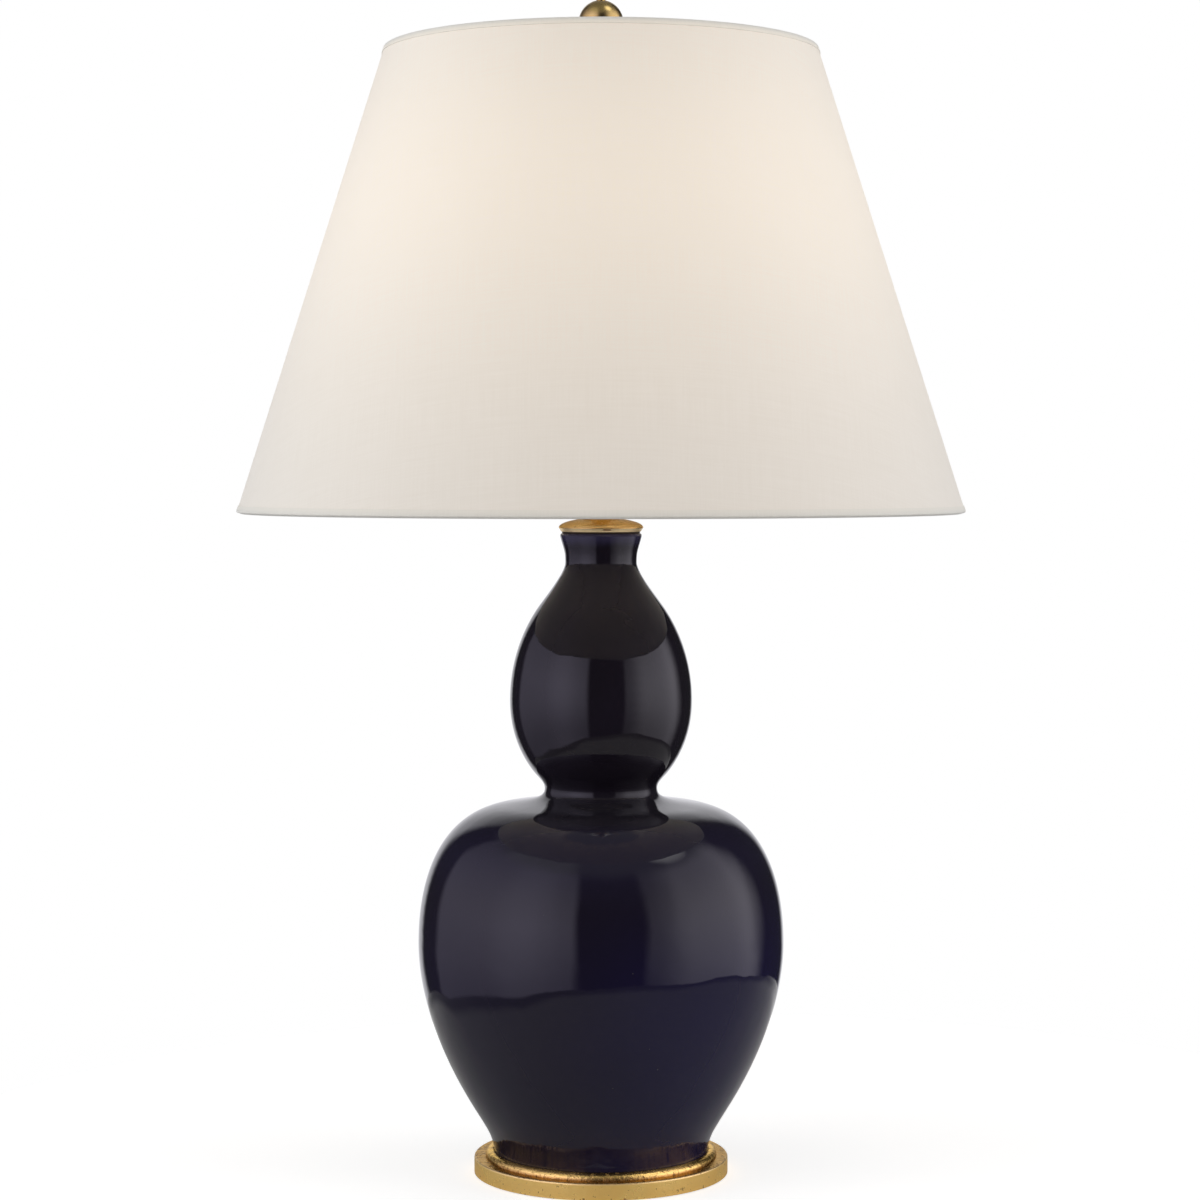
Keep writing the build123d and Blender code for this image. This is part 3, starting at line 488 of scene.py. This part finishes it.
# Draw rod: a length of threaded steel pipe that runs from under the plinth up to the
# socket, with a washer, a toothed washer and a nut below that pull the lamp together.
steel, place = new_finish("zinc_steel")
steel_x, steel_y, steel_z = axes(place)
thread_pitch = 0.00094
thread_turn = maths("ARCTAN2", steel_y, steel_x)
thread = maths("SINE", steel_z * (2 * pi / thread_pitch) - thread_turn)
zinc_bloom = noise(place, 260, 4)
set_surface(
    place,
    {
        "Base Color": mix(zinc_bloom, (0.44, 0.45, 0.46), (0.62, 0.62, 0.60)),
        "Metallic": 1.0,
        "Roughness": 0.28 + zinc_bloom * 0.2,
        "Normal": bump(thread * 0.5 + zinc_bloom * 0.1, 0.0003),
    },
)
dress(steel, "threaded_pipe", "base_nut")
washer_steel, place = new_finish("washer_steel")
washer_scratch = noise(place, 500, 3, finer=(1.0, 9.0, 1.0))
set_surface(
    place,
    {
        "Base Color": mix(washer_scratch, (0.46, 0.47, 0.48), (0.60, 0.60, 0.59)),
        "Metallic": 1.0,
        "Roughness": 0.25 + washer_scratch * 0.2,
        "Normal": bump(washer_scratch, 0.00004),
    },
)
dress(washer_steel, "base_washer", "base_lock_washer", "switch_shaft")


# Brass fittings: the turned neck on the cap, the bent saddle and its nut, the wire harp with its
# stud and sleeves, the spun socket, and the shade's rings and fitter. Lacquered, and dulled by handling.
def brass_finish(name, bright, dull, tarnish, gloss):
    """Drawn or turned brass: faint lines round the axis, and tarnish in clouds."""
    material, place = new_finish(name)
    lines = noise(place, 260, 3, finer=(0.6, 0.6, 14.0))
    clouds = rise(noise(place, 90, 4), 0.40, 0.75)
    spots = rise(noise(place, 520, 2), 0.68, 0.78)
    set_surface(
        place,
        {
            "Base Color": mix(clouds * 0.6 + spots * 0.4, mix(lines, bright, dull), tarnish),
            "Metallic": 1.0,
            "Roughness": gloss + lines * 0.08 + clouds * 0.10 + spots * 0.15,
            "Normal": bump(lines * 0.4 - spots * 0.2, 0.00006),
        },
    )
    return material


lacquered_brass = brass_finish(
    "lacquered_brass", (0.83, 0.62, 0.27), (0.74, 0.53, 0.21), (0.42, 0.27, 0.09), 0.20
)
neck_brass = ["neck_spindle", "harp_saddle", "saddle_nut"]
harp_brass = ["harp_bow", "harp_stud", "harp_sleeve_left", "harp_sleeve_right"]
socket_brass = ["socket_cap", "socket_set_screw", "socket_shell", "terminal_screws", "centre_contact"]
shade_brass = ["top_ring", "bottom_ring", "spider_arms", "spider_washer"]
dress(lacquered_brass, *neck_brass, *harp_brass, *socket_brass, *shade_brass)


# Socket's inside: a tube of grey pressed board that keeps the shell from the live parts,
# and the black phenolic body with its terminals.
board, place = new_finish("pressed_board")
board_pulp = noise(place, 420, 5, finer=(1.0, 1.0, 4.0))
set_surface(
    place,
    {
        "Base Color": mix(board_pulp, (0.16, 0.14, 0.12), (0.36, 0.33, 0.28)),
        "Roughness": 0.9,
        "Normal": bump(board_pulp, 0.0002),
    },
)
dress(board, "socket_liner")
phenolic, place = new_finish("black_phenolic")
phenolic_fill = noise(place, 1500, 3)
set_surface(
    place,
    {
        "Base Color": mix(phenolic_fill, (0.008, 0.007, 0.006), (0.030, 0.022, 0.016)),
        "Roughness": 0.22 + phenolic_fill * 0.2,
        "Normal": bump(phenolic_fill, 0.00003),
    },
)
dress(phenolic, "socket_body")


# Screw shell: a cup of thin aluminium with a rolled thread of 7 turns to the inch, riveted
# on the socket's body. The bulb's cap screws into it with play all round.
def thread_wave(height, around, start, end):
    """A right-hand rolled thread, 0 to 1: a cosine of height less turn, faded at both ends."""
    pitch = 0.0254 / 7
    fade_in = np.clip((height - start) / pitch, 0, 1)
    fade_out = np.clip((end - height) / pitch, 0, 1)
    return fade_in * fade_out * (0.5 + 0.5 * np.cos(2 * pi * height / pitch - around))


shell_low, shell_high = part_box("screw_shell")
thread_around = circle(96)
shell_sheet = 0.0004
shell_groove = 0.0004
shell_thread_start = shell_low.z + 0.001
shell_thread_end = shell_high.z - 0.0005
contact_hole = 0.006
shell_up = np.linspace(shell_low.z, shell_high.z, 90)[:, None]
shell_wave = thread_wave(shell_up, thread_around, shell_thread_start, shell_thread_end)
shell_outside = shell_high.x - shell_groove * shell_wave
shell_inside = (shell_outside - shell_sheet)[::-1]
floor_rim = np.full((1, len(thread_around)), contact_hole)
floor_level = shell_low.z + shell_sheet
screw_shell = skin(
    "screw_shell_rolled",
    turned(
        np.vstack([floor_rim, shell_outside, shell_inside, floor_rim]),
        np.vstack([[[shell_low.z]], shell_up, shell_up[::-1][:-1], [[floor_level]], [[floor_level]]]),
        thread_around,
    ),
    loop=True,
)
aluminium, place = new_finish("rolled_aluminium")
roll_marks = noise(place, 300, 3, finer=(1.0, 1.0, 8.0))
set_surface(
    place,
    {
        "Base Color": mix(roll_marks, (0.68, 0.69, 0.71), (0.83, 0.83, 0.83)),
        "Metallic": 1.0,
        "Roughness": 0.22 + roll_marks * 0.18,
        "Normal": bump(roll_marks, 0.00004),
    },
)
screw_shell.data.materials.append(aluminium)
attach(screw_shell, "base")
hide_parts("screw_shell")


# Switch: a steel shaft from the socket's works, with a fluted knob of moulded black resin pressed
# on it. The knob has a satin face with a faint brown mottle.
knob_resin, place = new_finish("knob_resin")
resin_mottle = noise(place, 240, 4, 1.0)
resin_grain = noise(place, 2400, 2)
set_surface(
    place,
    {
        "Base Color": mix(rise(resin_mottle, 0.4, 0.7), (0.010, 0.008, 0.007), (0.034, 0.020, 0.013)),
        "Roughness": 0.24 + resin_mottle * 0.18,
        "Normal": bump(resin_grain, 0.00003),
    },
)
dress(knob_resin, "switch_knob")


# Bulb: a clear pear of blown glass with its stem and coiled filament, in a rolled aluminium
# screw cap that has a black glass insulator and a blob of solder at its end.
thread_low, thread_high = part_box("bulb_screw_cap")
bulb_sheet = 0.00045
crest_radius = 0.0130
groove_depth = 0.0006
thread_end = thread_high.z - 0.0035
rim_height = 0.0010
rim_lip = 0.0005
rim_inset = 0.0008
thread_up = np.linspace(thread_low.z, thread_high.z - rim_height, 90)[:, None]
thread_groove = groove_depth * (1 - thread_wave(thread_up, thread_around, thread_low.z, thread_end))
thread_wall = crest_radius - thread_groove
rim_radius = np.array([[thread_high.x], [thread_high.x], [crest_radius - rim_inset]]) + 0 * thread_around
rim_up = np.array([[thread_high.z - rim_lip], [thread_high.z], [thread_high.z]])
screw_cap = skin(
    "bulb_cap_rolled",
    turned(
        np.vstack([thread_wall, rim_radius, (thread_wall - bulb_sheet)[::-1]]),
        np.vstack([thread_up, rim_up, thread_up[::-1]]),
        thread_around,
    ),
    loop=True,
)
screw_cap.data.materials.append(aluminium)
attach(screw_cap, "bulb")
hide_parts("bulb_screw_cap")
cap_glass, place = new_finish("black_glass")
cap_glass_flow = noise(place, 700, 2)
set_surface(
    place,
    {
        "Base Color": mix(cap_glass_flow, (0.006, 0.006, 0.007), (0.016, 0.015, 0.018)),
        "Roughness": 0.06 + cap_glass_flow * 0.08,
    },
)
dress(cap_glass, "bulb_insulator")
solder, place = new_finish("solder")
solder_skin = noise(place, 900, 4)
set_surface(
    place,
    {
        "Base Color": mix(solder_skin, (0.36, 0.36, 0.37), (0.58, 0.58, 0.57)),
        "Metallic": 1.0,
        "Roughness": 0.3 + solder_skin * 0.25,
        "Normal": bump(solder_skin, 0.00012),
    },
)
dress(solder, "bulb_tip")
clear_glass, place = new_finish("clear_glass")
glass_dust = noise(place, 220, 4)
set_surface(
    place,
    {
        "Base Color": (0.97, 0.98, 0.97, 1.0),
        "Transmission Weight": 1.0,
        "IOR": 1.46,
        "Roughness": 0.01 + rise(glass_dust, 0.5, 0.8) * 0.03,
    },
)
dress(clear_glass, "bulb_glass", "bulb_stem")
for glass_piece in ("bulb_glass", "bulb_stem"):
    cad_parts[glass_piece].visible_shadow = False
hot_start = (0.617, 0.625)
glow_wire, place = new_finish("hot_tungsten")
wire_heat = rise(axes(place, "z")[0], *hot_start)
set_surface(
    place,
    {
        "Base Color": mix(wire_heat, (0.40, 0.39, 0.37), (0.20, 0.17, 0.13)),
        "Metallic": 1.0,
        "Roughness": 0.4,
        "Emission Color": mix(wire_heat, (0.0, 0.0, 0.0), (1.0, 0.55, 0.20)),
        "Emission Strength": 3.0,
    },
)


def wire(path, spoke, thick, sides):
    """Carries a ring along a path: at each point the spoke, squared up to the path, is turned about it."""
    ahead = np.gradient(path, axis=0)
    ahead = ahead / np.linalg.norm(ahead, axis=1, keepdims=True)
    across = spoke - (spoke * ahead).sum(axis=1, keepdims=True) * ahead
    across = across / np.linalg.norm(across, axis=1, keepdims=True)
    beside = np.cross(ahead, across)
    turn = circle(sides)[:, None]
    ring = np.cos(turn) * across[:, None] + np.sin(turn) * beside[:, None]
    tube = path[:, None] + thick[:, None, None] * ring
    ends = [np.repeat(path[end : end + 1, None], sides, axis=1) for end in (0, len(path) - 1)]
    return np.vstack([ends[0], tube, ends[1]])


wire_low, wire_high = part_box("bulb_filament")
wire_sides = 7
joint_radius = 0.00065
wire_level = wire_high.z - joint_radius
lead_spread = 0.0090
lead_root = 0.0020
lead_points = 12
lead_thick = 0.00042
coil_thick = 0.00016
coil_reach = 0.0008
coil_turns = 36
coil_steps = 14
coil_end = 0.025
bow_depth = 0.4 * lead_spread
bow_radius = (lead_spread**2 + bow_depth**2) / (2 * bow_depth)
coil_along = np.linspace(0, 1, coil_turns * coil_steps + 1)[:, None]
coil_turn = 2 * pi * coil_turns * coil_along
coil_swell = np.minimum(1, np.minimum(coil_along, 1 - coil_along) / coil_end)
bow_swing = (2 * coil_along - 1) * np.arcsin(lead_spread / bow_radius)
bow_out = np.hstack([np.sin(bow_swing), np.cos(bow_swing), 0 * bow_swing])
bow = bow_radius * bow_out + (0, bow_depth - bow_radius, wire_level)
coil_spoke = np.cos(coil_turn) * bow_out + np.sin(coil_turn) * (0, 0, 1)
coil = bow + coil_reach * coil_swell * coil_spoke
lead_foot = np.array([-lead_root, 0, wire_low.z])
lead = lead_foot + np.linspace(0, 1, lead_points, endpoint=False)[:, None] * (coil[0] - lead_foot)
lead_spoke = np.repeat(bow_out[:1], lead_points, axis=0)
mirror = (-1, 1, 1)
filament = skin(
    "coiled_filament",
    wire(
        np.vstack([lead, coil, lead[::-1] * mirror]),
        np.vstack([lead_spoke, coil_spoke, lead_spoke * mirror]),
        np.repeat([lead_thick, coil_thick, lead_thick], [lead_points, len(coil), lead_points]),
        wire_sides,
    ),
)
filament.data.materials.append(glow_wire)
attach(filament, "bulb")
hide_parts("bulb_filament")


# Shade liner: a cone of stiff white sheet with the linen laminated over it. The sheet is
# smooth, a little warm, and shows the faint roll marks of its making.
liner, place = new_finish("shade_sheet")
liner_roll = noise(place, 90, 3, finer=(1.0, 1.0, 0.15))
liner_fleck = noise(place, 800, 3)
set_surface(
    place,
    {
        "Base Color": mix(liner_roll, (0.80, 0.78, 0.73), (0.85, 0.83, 0.79)),
        "Roughness": 0.45 + liner_fleck * 0.15,
        "Normal": bump(liner_fleck, 0.00004),
    },
)
dress(liner, "shade_liner")


# Linen: one sector of off-white cloth, cut flat, wrapped round the cone and lapped at the
# back. Its threads run straight on the cut, so they lean towards the sides of the shade.
shade_top_radius = 0.1498
shade_bottom_radius = 0.2524
shade_top = 0.7842
shade_height = 0.3201
slant = sqrt(shade_height**2 + (shade_bottom_radius - shade_top_radius) ** 2)
slant_run = (shade_bottom_radius - shade_top_radius) / slant
slant_fall = shade_height / slant


def on_slant(down, out):
    """Radius and height of a point: down the shade's slant from its top edge, out from its face."""
    radius = shade_top_radius + slant_run * down + slant_fall * out
    return radius, shade_top - slant_fall * down + slant_run * out


def angles(count, *fine):
    """Even steps round the shade, with closer steps about some angles: (angle, half width) each."""
    steps = [circle(count)]
    steps += [np.linspace(angle - half, angle + half, 41) for angle, half in fine]
    return np.unique(np.round(np.concatenate(steps) % (2 * pi), 6))


def step(value, low, high):
    """Smooth step from 0 at low to 1 at high."""
    share = np.clip((value - low) / (high - low), 0, 1)
    return share * share * (3 - 2 * share)


def turn_from(start, around):
    """The turn from one angle to others, the short way round: between minus pi and pi."""
    return (around - start + pi) % (2 * pi) - pi


def on_cut(down, around):
    """Place on the flat cloth: a cone unrolls to a sector, whose middle is the front of the shade."""
    apex = shade_top_radius / slant_run
    turn = turn_from(1.5 * pi, around) * slant_run
    return np.stack([(apex + down) * np.sin(turn), -(apex + down) * np.cos(turn)], axis=-1)


cloth_thickness = 0.0005
cloth_inset = 0.0010
lap_thickness = 0.0004
lap_half = 0.006
lap_clear = 0.0047
lap_ramp = 0.0003
lap_angle = 0.5 * pi
hem_depth = 0.012
hem_rows = lap_clear + np.linspace(-0.0004, 0.0004, 5)
linen_around = angles(360, (lap_angle, 0.04))
linen_down = np.concatenate(
    [
        [cloth_inset],
        hem_rows,
        np.linspace(hem_depth, slant - hem_depth, 28),
        slant - hem_rows[::-1],
        [slant - cloth_inset],
    ]
)[::-1, None]
from_lap = np.abs(turn_from(lap_angle, linen_around)) * (shade_top_radius + slant_run * linen_down)
from_edge = np.minimum(linen_down, slant - linen_down)
lap_across = 1 - step(from_lap, lap_half - lap_ramp, lap_half)
lapped = lap_across * step(from_edge, lap_clear - lap_ramp, lap_clear)
outer_radius, outer_height = on_slant(linen_down, lapped * lap_thickness)
inner_radius, inner_height = on_slant(linen_down[::-1], 0 * linen_around - cloth_thickness)
linen_cut = on_cut(linen_down, np.append(linen_around, linen_around[0] + 2 * pi))
shade_linen = skin(
    "shade_linen",
    turned(
        np.vstack([outer_radius, inner_radius]),
        np.vstack([outer_height, inner_height]),
        linen_around,
    ),
    loop=True,
    cloth=np.vstack([linen_cut, linen_cut[::-1]]),
)


def weave(cut, pitch):
    """Height of a plain weave, 0 to 1: warp and weft threads pass over each other in turn."""
    across, along = (axis * (pi / pitch) for axis in axes(cut, "xy"))
    warp = abs(maths("SINE", across))
    weft = abs(maths("SINE", along))
    over = rise(maths("SINE", across * 0.5 + along * 0.5), -0.2, 0.2)
    return warp * over + weft * (1 - over)


bulb_height = 0.626


def bulb_glow(place, level):
    """Painted glow of the bulb's warm light through the cloth, as emission: level times the cosine to it
    over its distance squared.
    """
    x, y, z = axes(place)
    away = (x * x + y * y) ** 0.5
    above = z - bulb_height
    distance = (away * away + above * above) ** 0.5
    glow = (away * slant_fall + above * slant_run) / distance**3 * level
    return place.node("CombineColor", {"Red": glow, "Green": glow * 0.78, "Blue": glow * 0.52})


linen, place = new_finish("linen")
cut = place.node("UVMap", uv_map="cut")
linen_weave = weave(cut, 0.00055)
slubs_across = noise(cut, 1.0, 3, finer=(22.0, 900.0, 1.0))
slubs_along = noise(cut, 1.0, 3, finer=(900.0, 22.0, 1.0))
slubs = slubs_across * 0.5 + slubs_along * 0.5
cloth_cloud = noise(cut, 9, 3)
linen_tone = mix(rise(slubs, 0.30, 0.70), (0.850, 0.824, 0.785), (0.885, 0.862, 0.828))
set_surface(
    place,
    {
        "Base Color": mix(cloth_cloud * 0.25, linen_tone, (0.83, 0.79, 0.73)),
        "Roughness": 0.85,
        "Sheen Weight": 0.15,
        # Painted light: the linen glows where the bulb would shine through it.
        "Emission Color": bulb_glow(place, 0.0085),
        "Emission Strength": 1.0,
        "Normal": bump(linen_weave * 0.6 + slubs * 0.8, 0.00012),
    },
)
shade_linen.data.materials.append(linen)
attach(shade_linen, "shade")
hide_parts("shade_fabric")


# Hems: narrow tape of the same linen, folded over the shade's two edges and round their
# wire rings, and glued. The upper one is snipped where the fitter's arms come through.
tape_thickness = 0.0005
tape_leg = 0.0045
tape_face = 0.00055
edge_bend = 0.0010
wire_bend = 0.00235
wire_depth = 0.0033
snip_turn = radians(22)
snip_edge = (0.0125, 0.0165)
arm_angles = [radians(90 + 120 * arm) for arm in range(3)]
tape_around = angles(360, *[(angle, 0.03) for angle in arm_angles])


def tape(name, edge, inward, snipped):
    """A strip carried round: its face leg, a quarter turn over the linen's edge, a wider quarter turn
    about the wire and the back leg, then the same path back, set in by the tape's thickness.
    Where snipped is 1 the strip stops early, on the wider turn."""
    quarter = wire_bend * pi / 2
    whole = quarter + tape_leg - wire_bend
    reach = np.linspace(0, 1, 18)[:, None] * (whole + (snip_turn * wire_bend - whole) * snipped)
    edge_turn = np.linspace(0, pi / 2, 6)[:, None] + 0 * snipped
    wire_turn = np.minimum(reach / wire_bend, pi / 2)
    beyond = np.maximum(reach - quarter, 0)

    def layer(inset):
        """How far the path lies below the shade's edge and out from its face."""
        over_edge = edge_bend - inset
        over_wire = wire_bend - inset
        below = [
            np.full_like(edge_turn[:1], tape_leg),
            edge_bend - over_edge * np.sin(edge_turn),
            wire_bend - over_wire * np.cos(wire_turn) + beyond,
        ]
        out = [
            np.full_like(edge_turn[:1], tape_face - inset),
            tape_face - edge_bend + over_edge * np.cos(edge_turn),
            -wire_depth - over_wire * np.sin(wire_turn),
        ]
        return np.vstack(below), np.vstack(out)

    outer_below, outer_out = layer(0)
    inner_below, inner_out = layer(tape_thickness)
    down = edge + inward * np.vstack([outer_below, inner_below[::-1]])
    out = np.vstack([outer_out, inner_out[::-1]])
    radius, height = on_slant(down, out)
    points = turned(radius, height, tape_around)
    round_edge = np.append(tape_around, 2 * pi) * (shade_top_radius + slant_run * edge)
    length = np.append(0, np.cumsum(np.hypot(*np.diff([down[:, 0], out[:, 0]]))))[:, None]
    cloth = np.stack(np.broadcast_arrays(round_edge, length), axis=-1)
    if inward < 0:
        points, cloth = points[::-1], cloth[::-1]
    return skin(name, points, loop=True, cloth=cloth)


from_arm = np.min([np.abs(turn_from(angle, tape_around)) for angle in arm_angles], axis=0)
upper_tape = tape("shade_tape_upper", 0, 1, 1 - step(from_arm, *snip_edge))
lower_tape = tape("shade_tape_lower", slant, -1, 0 * tape_around)
tape_finish, place = new_finish("linen_tape")
cut = place.node("UVMap", uv_map="cut")
tape_weave = weave(cut, 0.00045)
tape_slubs = noise(cut, 1.0, 3, finer=(700.0, 40.0, 1.0))
painted_glow_share = 1 - rise(axes(cut, "y")[0], 0.0008, 0.0040)
set_surface(
    place,
    {
        # The tape is a shade greyer than the linen: painted shade, as no light of the bulb comes through
        # the hem.
        "Base Color": mix(tape_slubs, (0.79, 0.78, 0.74), (0.86, 0.85, 0.81)),
        "Roughness": 0.88,
        "Sheen Weight": 0.15,
        # Painted glow of the bulb, fading out along the tape towards the folded edge and its wire.
        "Emission Color": bulb_glow(place, painted_glow_share * 0.0075),
        "Emission Strength": 1.0,
        "Normal": bump(tape_weave * 0.6 + tape_slubs * 0.6, 0.00012),
    },
)
for tape_piece, tape_node in ((upper_tape, "top_trim"), (lower_tape, "bottom_trim")):
    tape_piece.data.materials.append(tape_finish)
    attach(tape_piece, "shade")
    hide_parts(tape_node)


# Finial: a solid brass ball with a nub, turned in one piece with its waisted foot, tapped
# to screw on the harp's stud. Waxed rather than lacquered, so it has gone brown in patches.
dress(
    brass_finish("aged_brass", (0.58, 0.42, 0.165), (0.46, 0.32, 0.115), (0.26, 0.17, 0.055), 0.20),
    "finial",
)


# Studio: a white sheet on a table, in front of a white backdrop, with a tall white panel on each
# side of the lamp, and the dark of the room between them where the camera stands.
camera = bpy.data.objects.new("camera", bpy.data.cameras.new("camera"))
camera.location = (-0.0007, -2.057, 0.493)
camera.rotation_euler = (radians(90 - 2.522), 0, 0)
camera.data.sensor_width = 36
camera.data.lens = 88.4
bpy.context.collection.objects.link(camera)
bpy.context.scene.camera = camera

table_radius = 0.60
sheet_radius = 0.55
table_centre = (0.07, 0, 0)
table_around = circle(128)
table_share = np.array([1.0, 0.8, 0.6, 0.4, 0.2, 0.0])[:, None]
table = skin("table_top", turned(table_share * table_radius, 0 * table_share, table_around) + table_centre)


def ray(place, kind):
    """1 for one kind of ray, such as Camera or Glossy, and 0 for the others."""
    return place.node("LightPath", output=f"Is {kind} Ray")


# Seen directly, the sheet runs on into the backdrop. In the gloss of the lamp it ends at a rim, with
# the grey table beyond it, and the rim is drawn in on the left.
table_white, place = new_finish("table_white")
mirrored = ray(place, "Glossy")
outward = place.node("VectorMath", {0: place, 1: table_centre}, operation="SUBTRACT")
outward_x, outward_y = axes(outward, "xy")
leftward = maths("ARCTAN2", outward_x * -1, outward_y * -1) * (180 / pi)
drawn_in = between(leftward, 26, 52, 95, 120)
reach = outward.node("VectorMath", {0: outward}, output="Value", operation="LENGTH")
rim = reach / ((1 - drawn_in * 0.17) * sheet_radius)
sheet_end = mirrored * rise(rim, 0.86, 1.0)
table_end = mirrored * rise((rim - 1) / (0.08 + drawn_in * 0.07), 0.4, 1.0)
behind = rise(outward_y, 0.30, 0.55)
paper_white = mix(noise(place, 40, 2), (0.665, 0.665, 0.665), (0.675, 0.675, 0.675))
paper = place.node("BsdfDiffuse", {"Color": mix(sheet_end, paper_white, (0.23, 0.23, 0.23))})
shown = ray(place, "Camera") + ray(place, "Transmission") + mirrored * (0.05 + behind * 0.95)
backlight = place.node("Emission", {"Strength": shown * 0.65})
lit_paper = place.node("AddShader", {0: paper, 1: backlight})
table_shader = place.node("MixShader", {0: table_end, 1: lit_paper, 2: place.node("BsdfTransparent")})
place.node("OutputMaterial", {"Surface": table_shader})
table_white.cycles.emission_sampling = "NONE"
table.data.materials.append(table_white)

world = bpy.data.worlds.new("studio")
world.use_nodes = True
world.node_tree.nodes.clear()
bpy.context.scene.world = world
direction = Tone(world.node_tree).node("TexCoord", output="Generated")
toward_x, toward_y, toward_z = axes(direction)

# Bearings and heights are in degrees as the lamp sees them: bearing 0 is the camera's side, and
# bearings grow to the right.
bearing = maths("ARCTAN2", toward_x, toward_y * -1) * (180 / pi)
height = maths("ARCSINE", toward_z) * (180 / pi)
glossy = ray(direction, "Glossy")
left_fade = rise(bearing, -165, -50) * (1 - rise(bearing, -50, -12) * 0.4)
left_level = 1.18 - rise(bearing * -1, 55, 80) * glossy * 0.20
left_panel = between(bearing, -130, -122, -21, -12) * left_fade * left_level
right_panel = between(bearing, 26, 34, 102, 126) * (0.45 + rise(bearing, 33, 62) * 0.85)
backdrop_left = rise(bearing * -1, 147, 157) * 0.85
backdrop_right = rise(bearing, 156, 167) * 0.9
backdrop = (backdrop_left + backdrop_right) * (1 - rise(height, 15, 42) * 0.65)
dim_above = rise(height, 5, 50) * (0.20 + glossy * 0.24)
dim_below = rise(height * -1, -10, 30) * (0.45 + glossy * 0.09)
falloff = 1 - dim_above - dim_below
overhead = rise(height, 40, 54)


def toward(x, y, z, wide, narrow):
    """A round patch of the studio about a direction: 0 at wide degrees from it, 1 within narrow degrees."""
    sockets = {0: direction, 1: (x, y, z)}
    along = direction.node("VectorMath", sockets, output="Value", operation="DOT_PRODUCT")
    return rise(along, np.cos(radians(wide)), np.cos(radians(narrow)))


ceiling = 0.28 + toward(-0.60, -0.36, 0.72, 30, 14) * 0.4
spotlight = toward(0.451, -0.129, 0.883, 16, 7) * 2.2 * glossy
walls = 0.03 + (left_panel + right_panel) * falloff + backdrop
tent = walls * (1 - overhead) + overhead * ceiling + spotlight
plain = ray(direction, "Camera") + ray(direction, "Transmission")
to_backdrop = rise(abs(bearing), 126, 150)
in_gloss = glossy * (1 - to_backdrop) * (1 - overhead)
panel_tint = mix(rise(bearing, -30, 60), (0.99, 0.93, 1.19), (1.0, 0.96, 1.07))
gloss_tint = mix(to_backdrop, panel_tint, (0.995, 0.99, 1.04))
room = direction.node(
    "Background",
    {
        "Color": mix(glossy * (1 - overhead), (1.0, 1.0, 1.0), gloss_tint),
        "Strength": tent * (1 - plain) * (1 + in_gloss * 0.53) + plain,
    },
)
direction.node("OutputWorld", {"Surface": room})


def soft_lamp(name, spot, target, size, power, colour):
    """A large soft lamp that lights matt surfaces; the panels stand for it in reflections."""
    lamp = bpy.data.lights.new(name, "AREA")
    lamp.size = size
    lamp.energy = power
    lamp.color = colour
    stand = bpy.data.objects.new(name, lamp)
    aim = np.subtract(target, spot)
    stand.location = spot
    stand.rotation_euler = (np.arctan2(np.hypot(aim[0], aim[1]), -aim[2]), 0, np.arctan2(-aim[0], aim[1]))
    stand.visible_camera = stand.visible_glossy = stand.visible_transmission = False
    bpy.context.collection.objects.link(stand)


soft_lamp("lamp_left", (-2.1, -0.55, 0.72), (0, 0, 0.5), 1.6, 12.15, (0.98, 0.995, 1.0))
soft_lamp("lamp_right", (2.1, -0.55, 0.78), (0, 0, 0.5), 1.6, 10.0, (0.99, 0.99, 1.0))
soft_lamp("lamp_back", (0.4, 2.4, 0.9), (0, 0, 0.4), 1.6, 8, (1.0, 0.99, 0.97))
soft_lamp("lamp_front", (0.2, -2.6, 0.6), (0, 0, 0.55), 1.2, 10, (1.0, 0.82, 0.64))

bulb_light = bpy.data.objects.new("bulb_light", bpy.data.lights.new("bulb_light", "POINT"))
bulb_light.data.energy = 0.28
bulb_light.data.color = (1.0, 0.80, 0.70)
bulb_light.data.shadow_soft_size = 0.009
bulb_light.location = (0, 0, bulb_height)
bulb_light.visible_camera = bulb_light.visible_glossy = bulb_light.visible_transmission = False
bpy.context.collection.objects.link(bulb_light)

bpy.context.scene.view_settings.view_transform = "Standard"
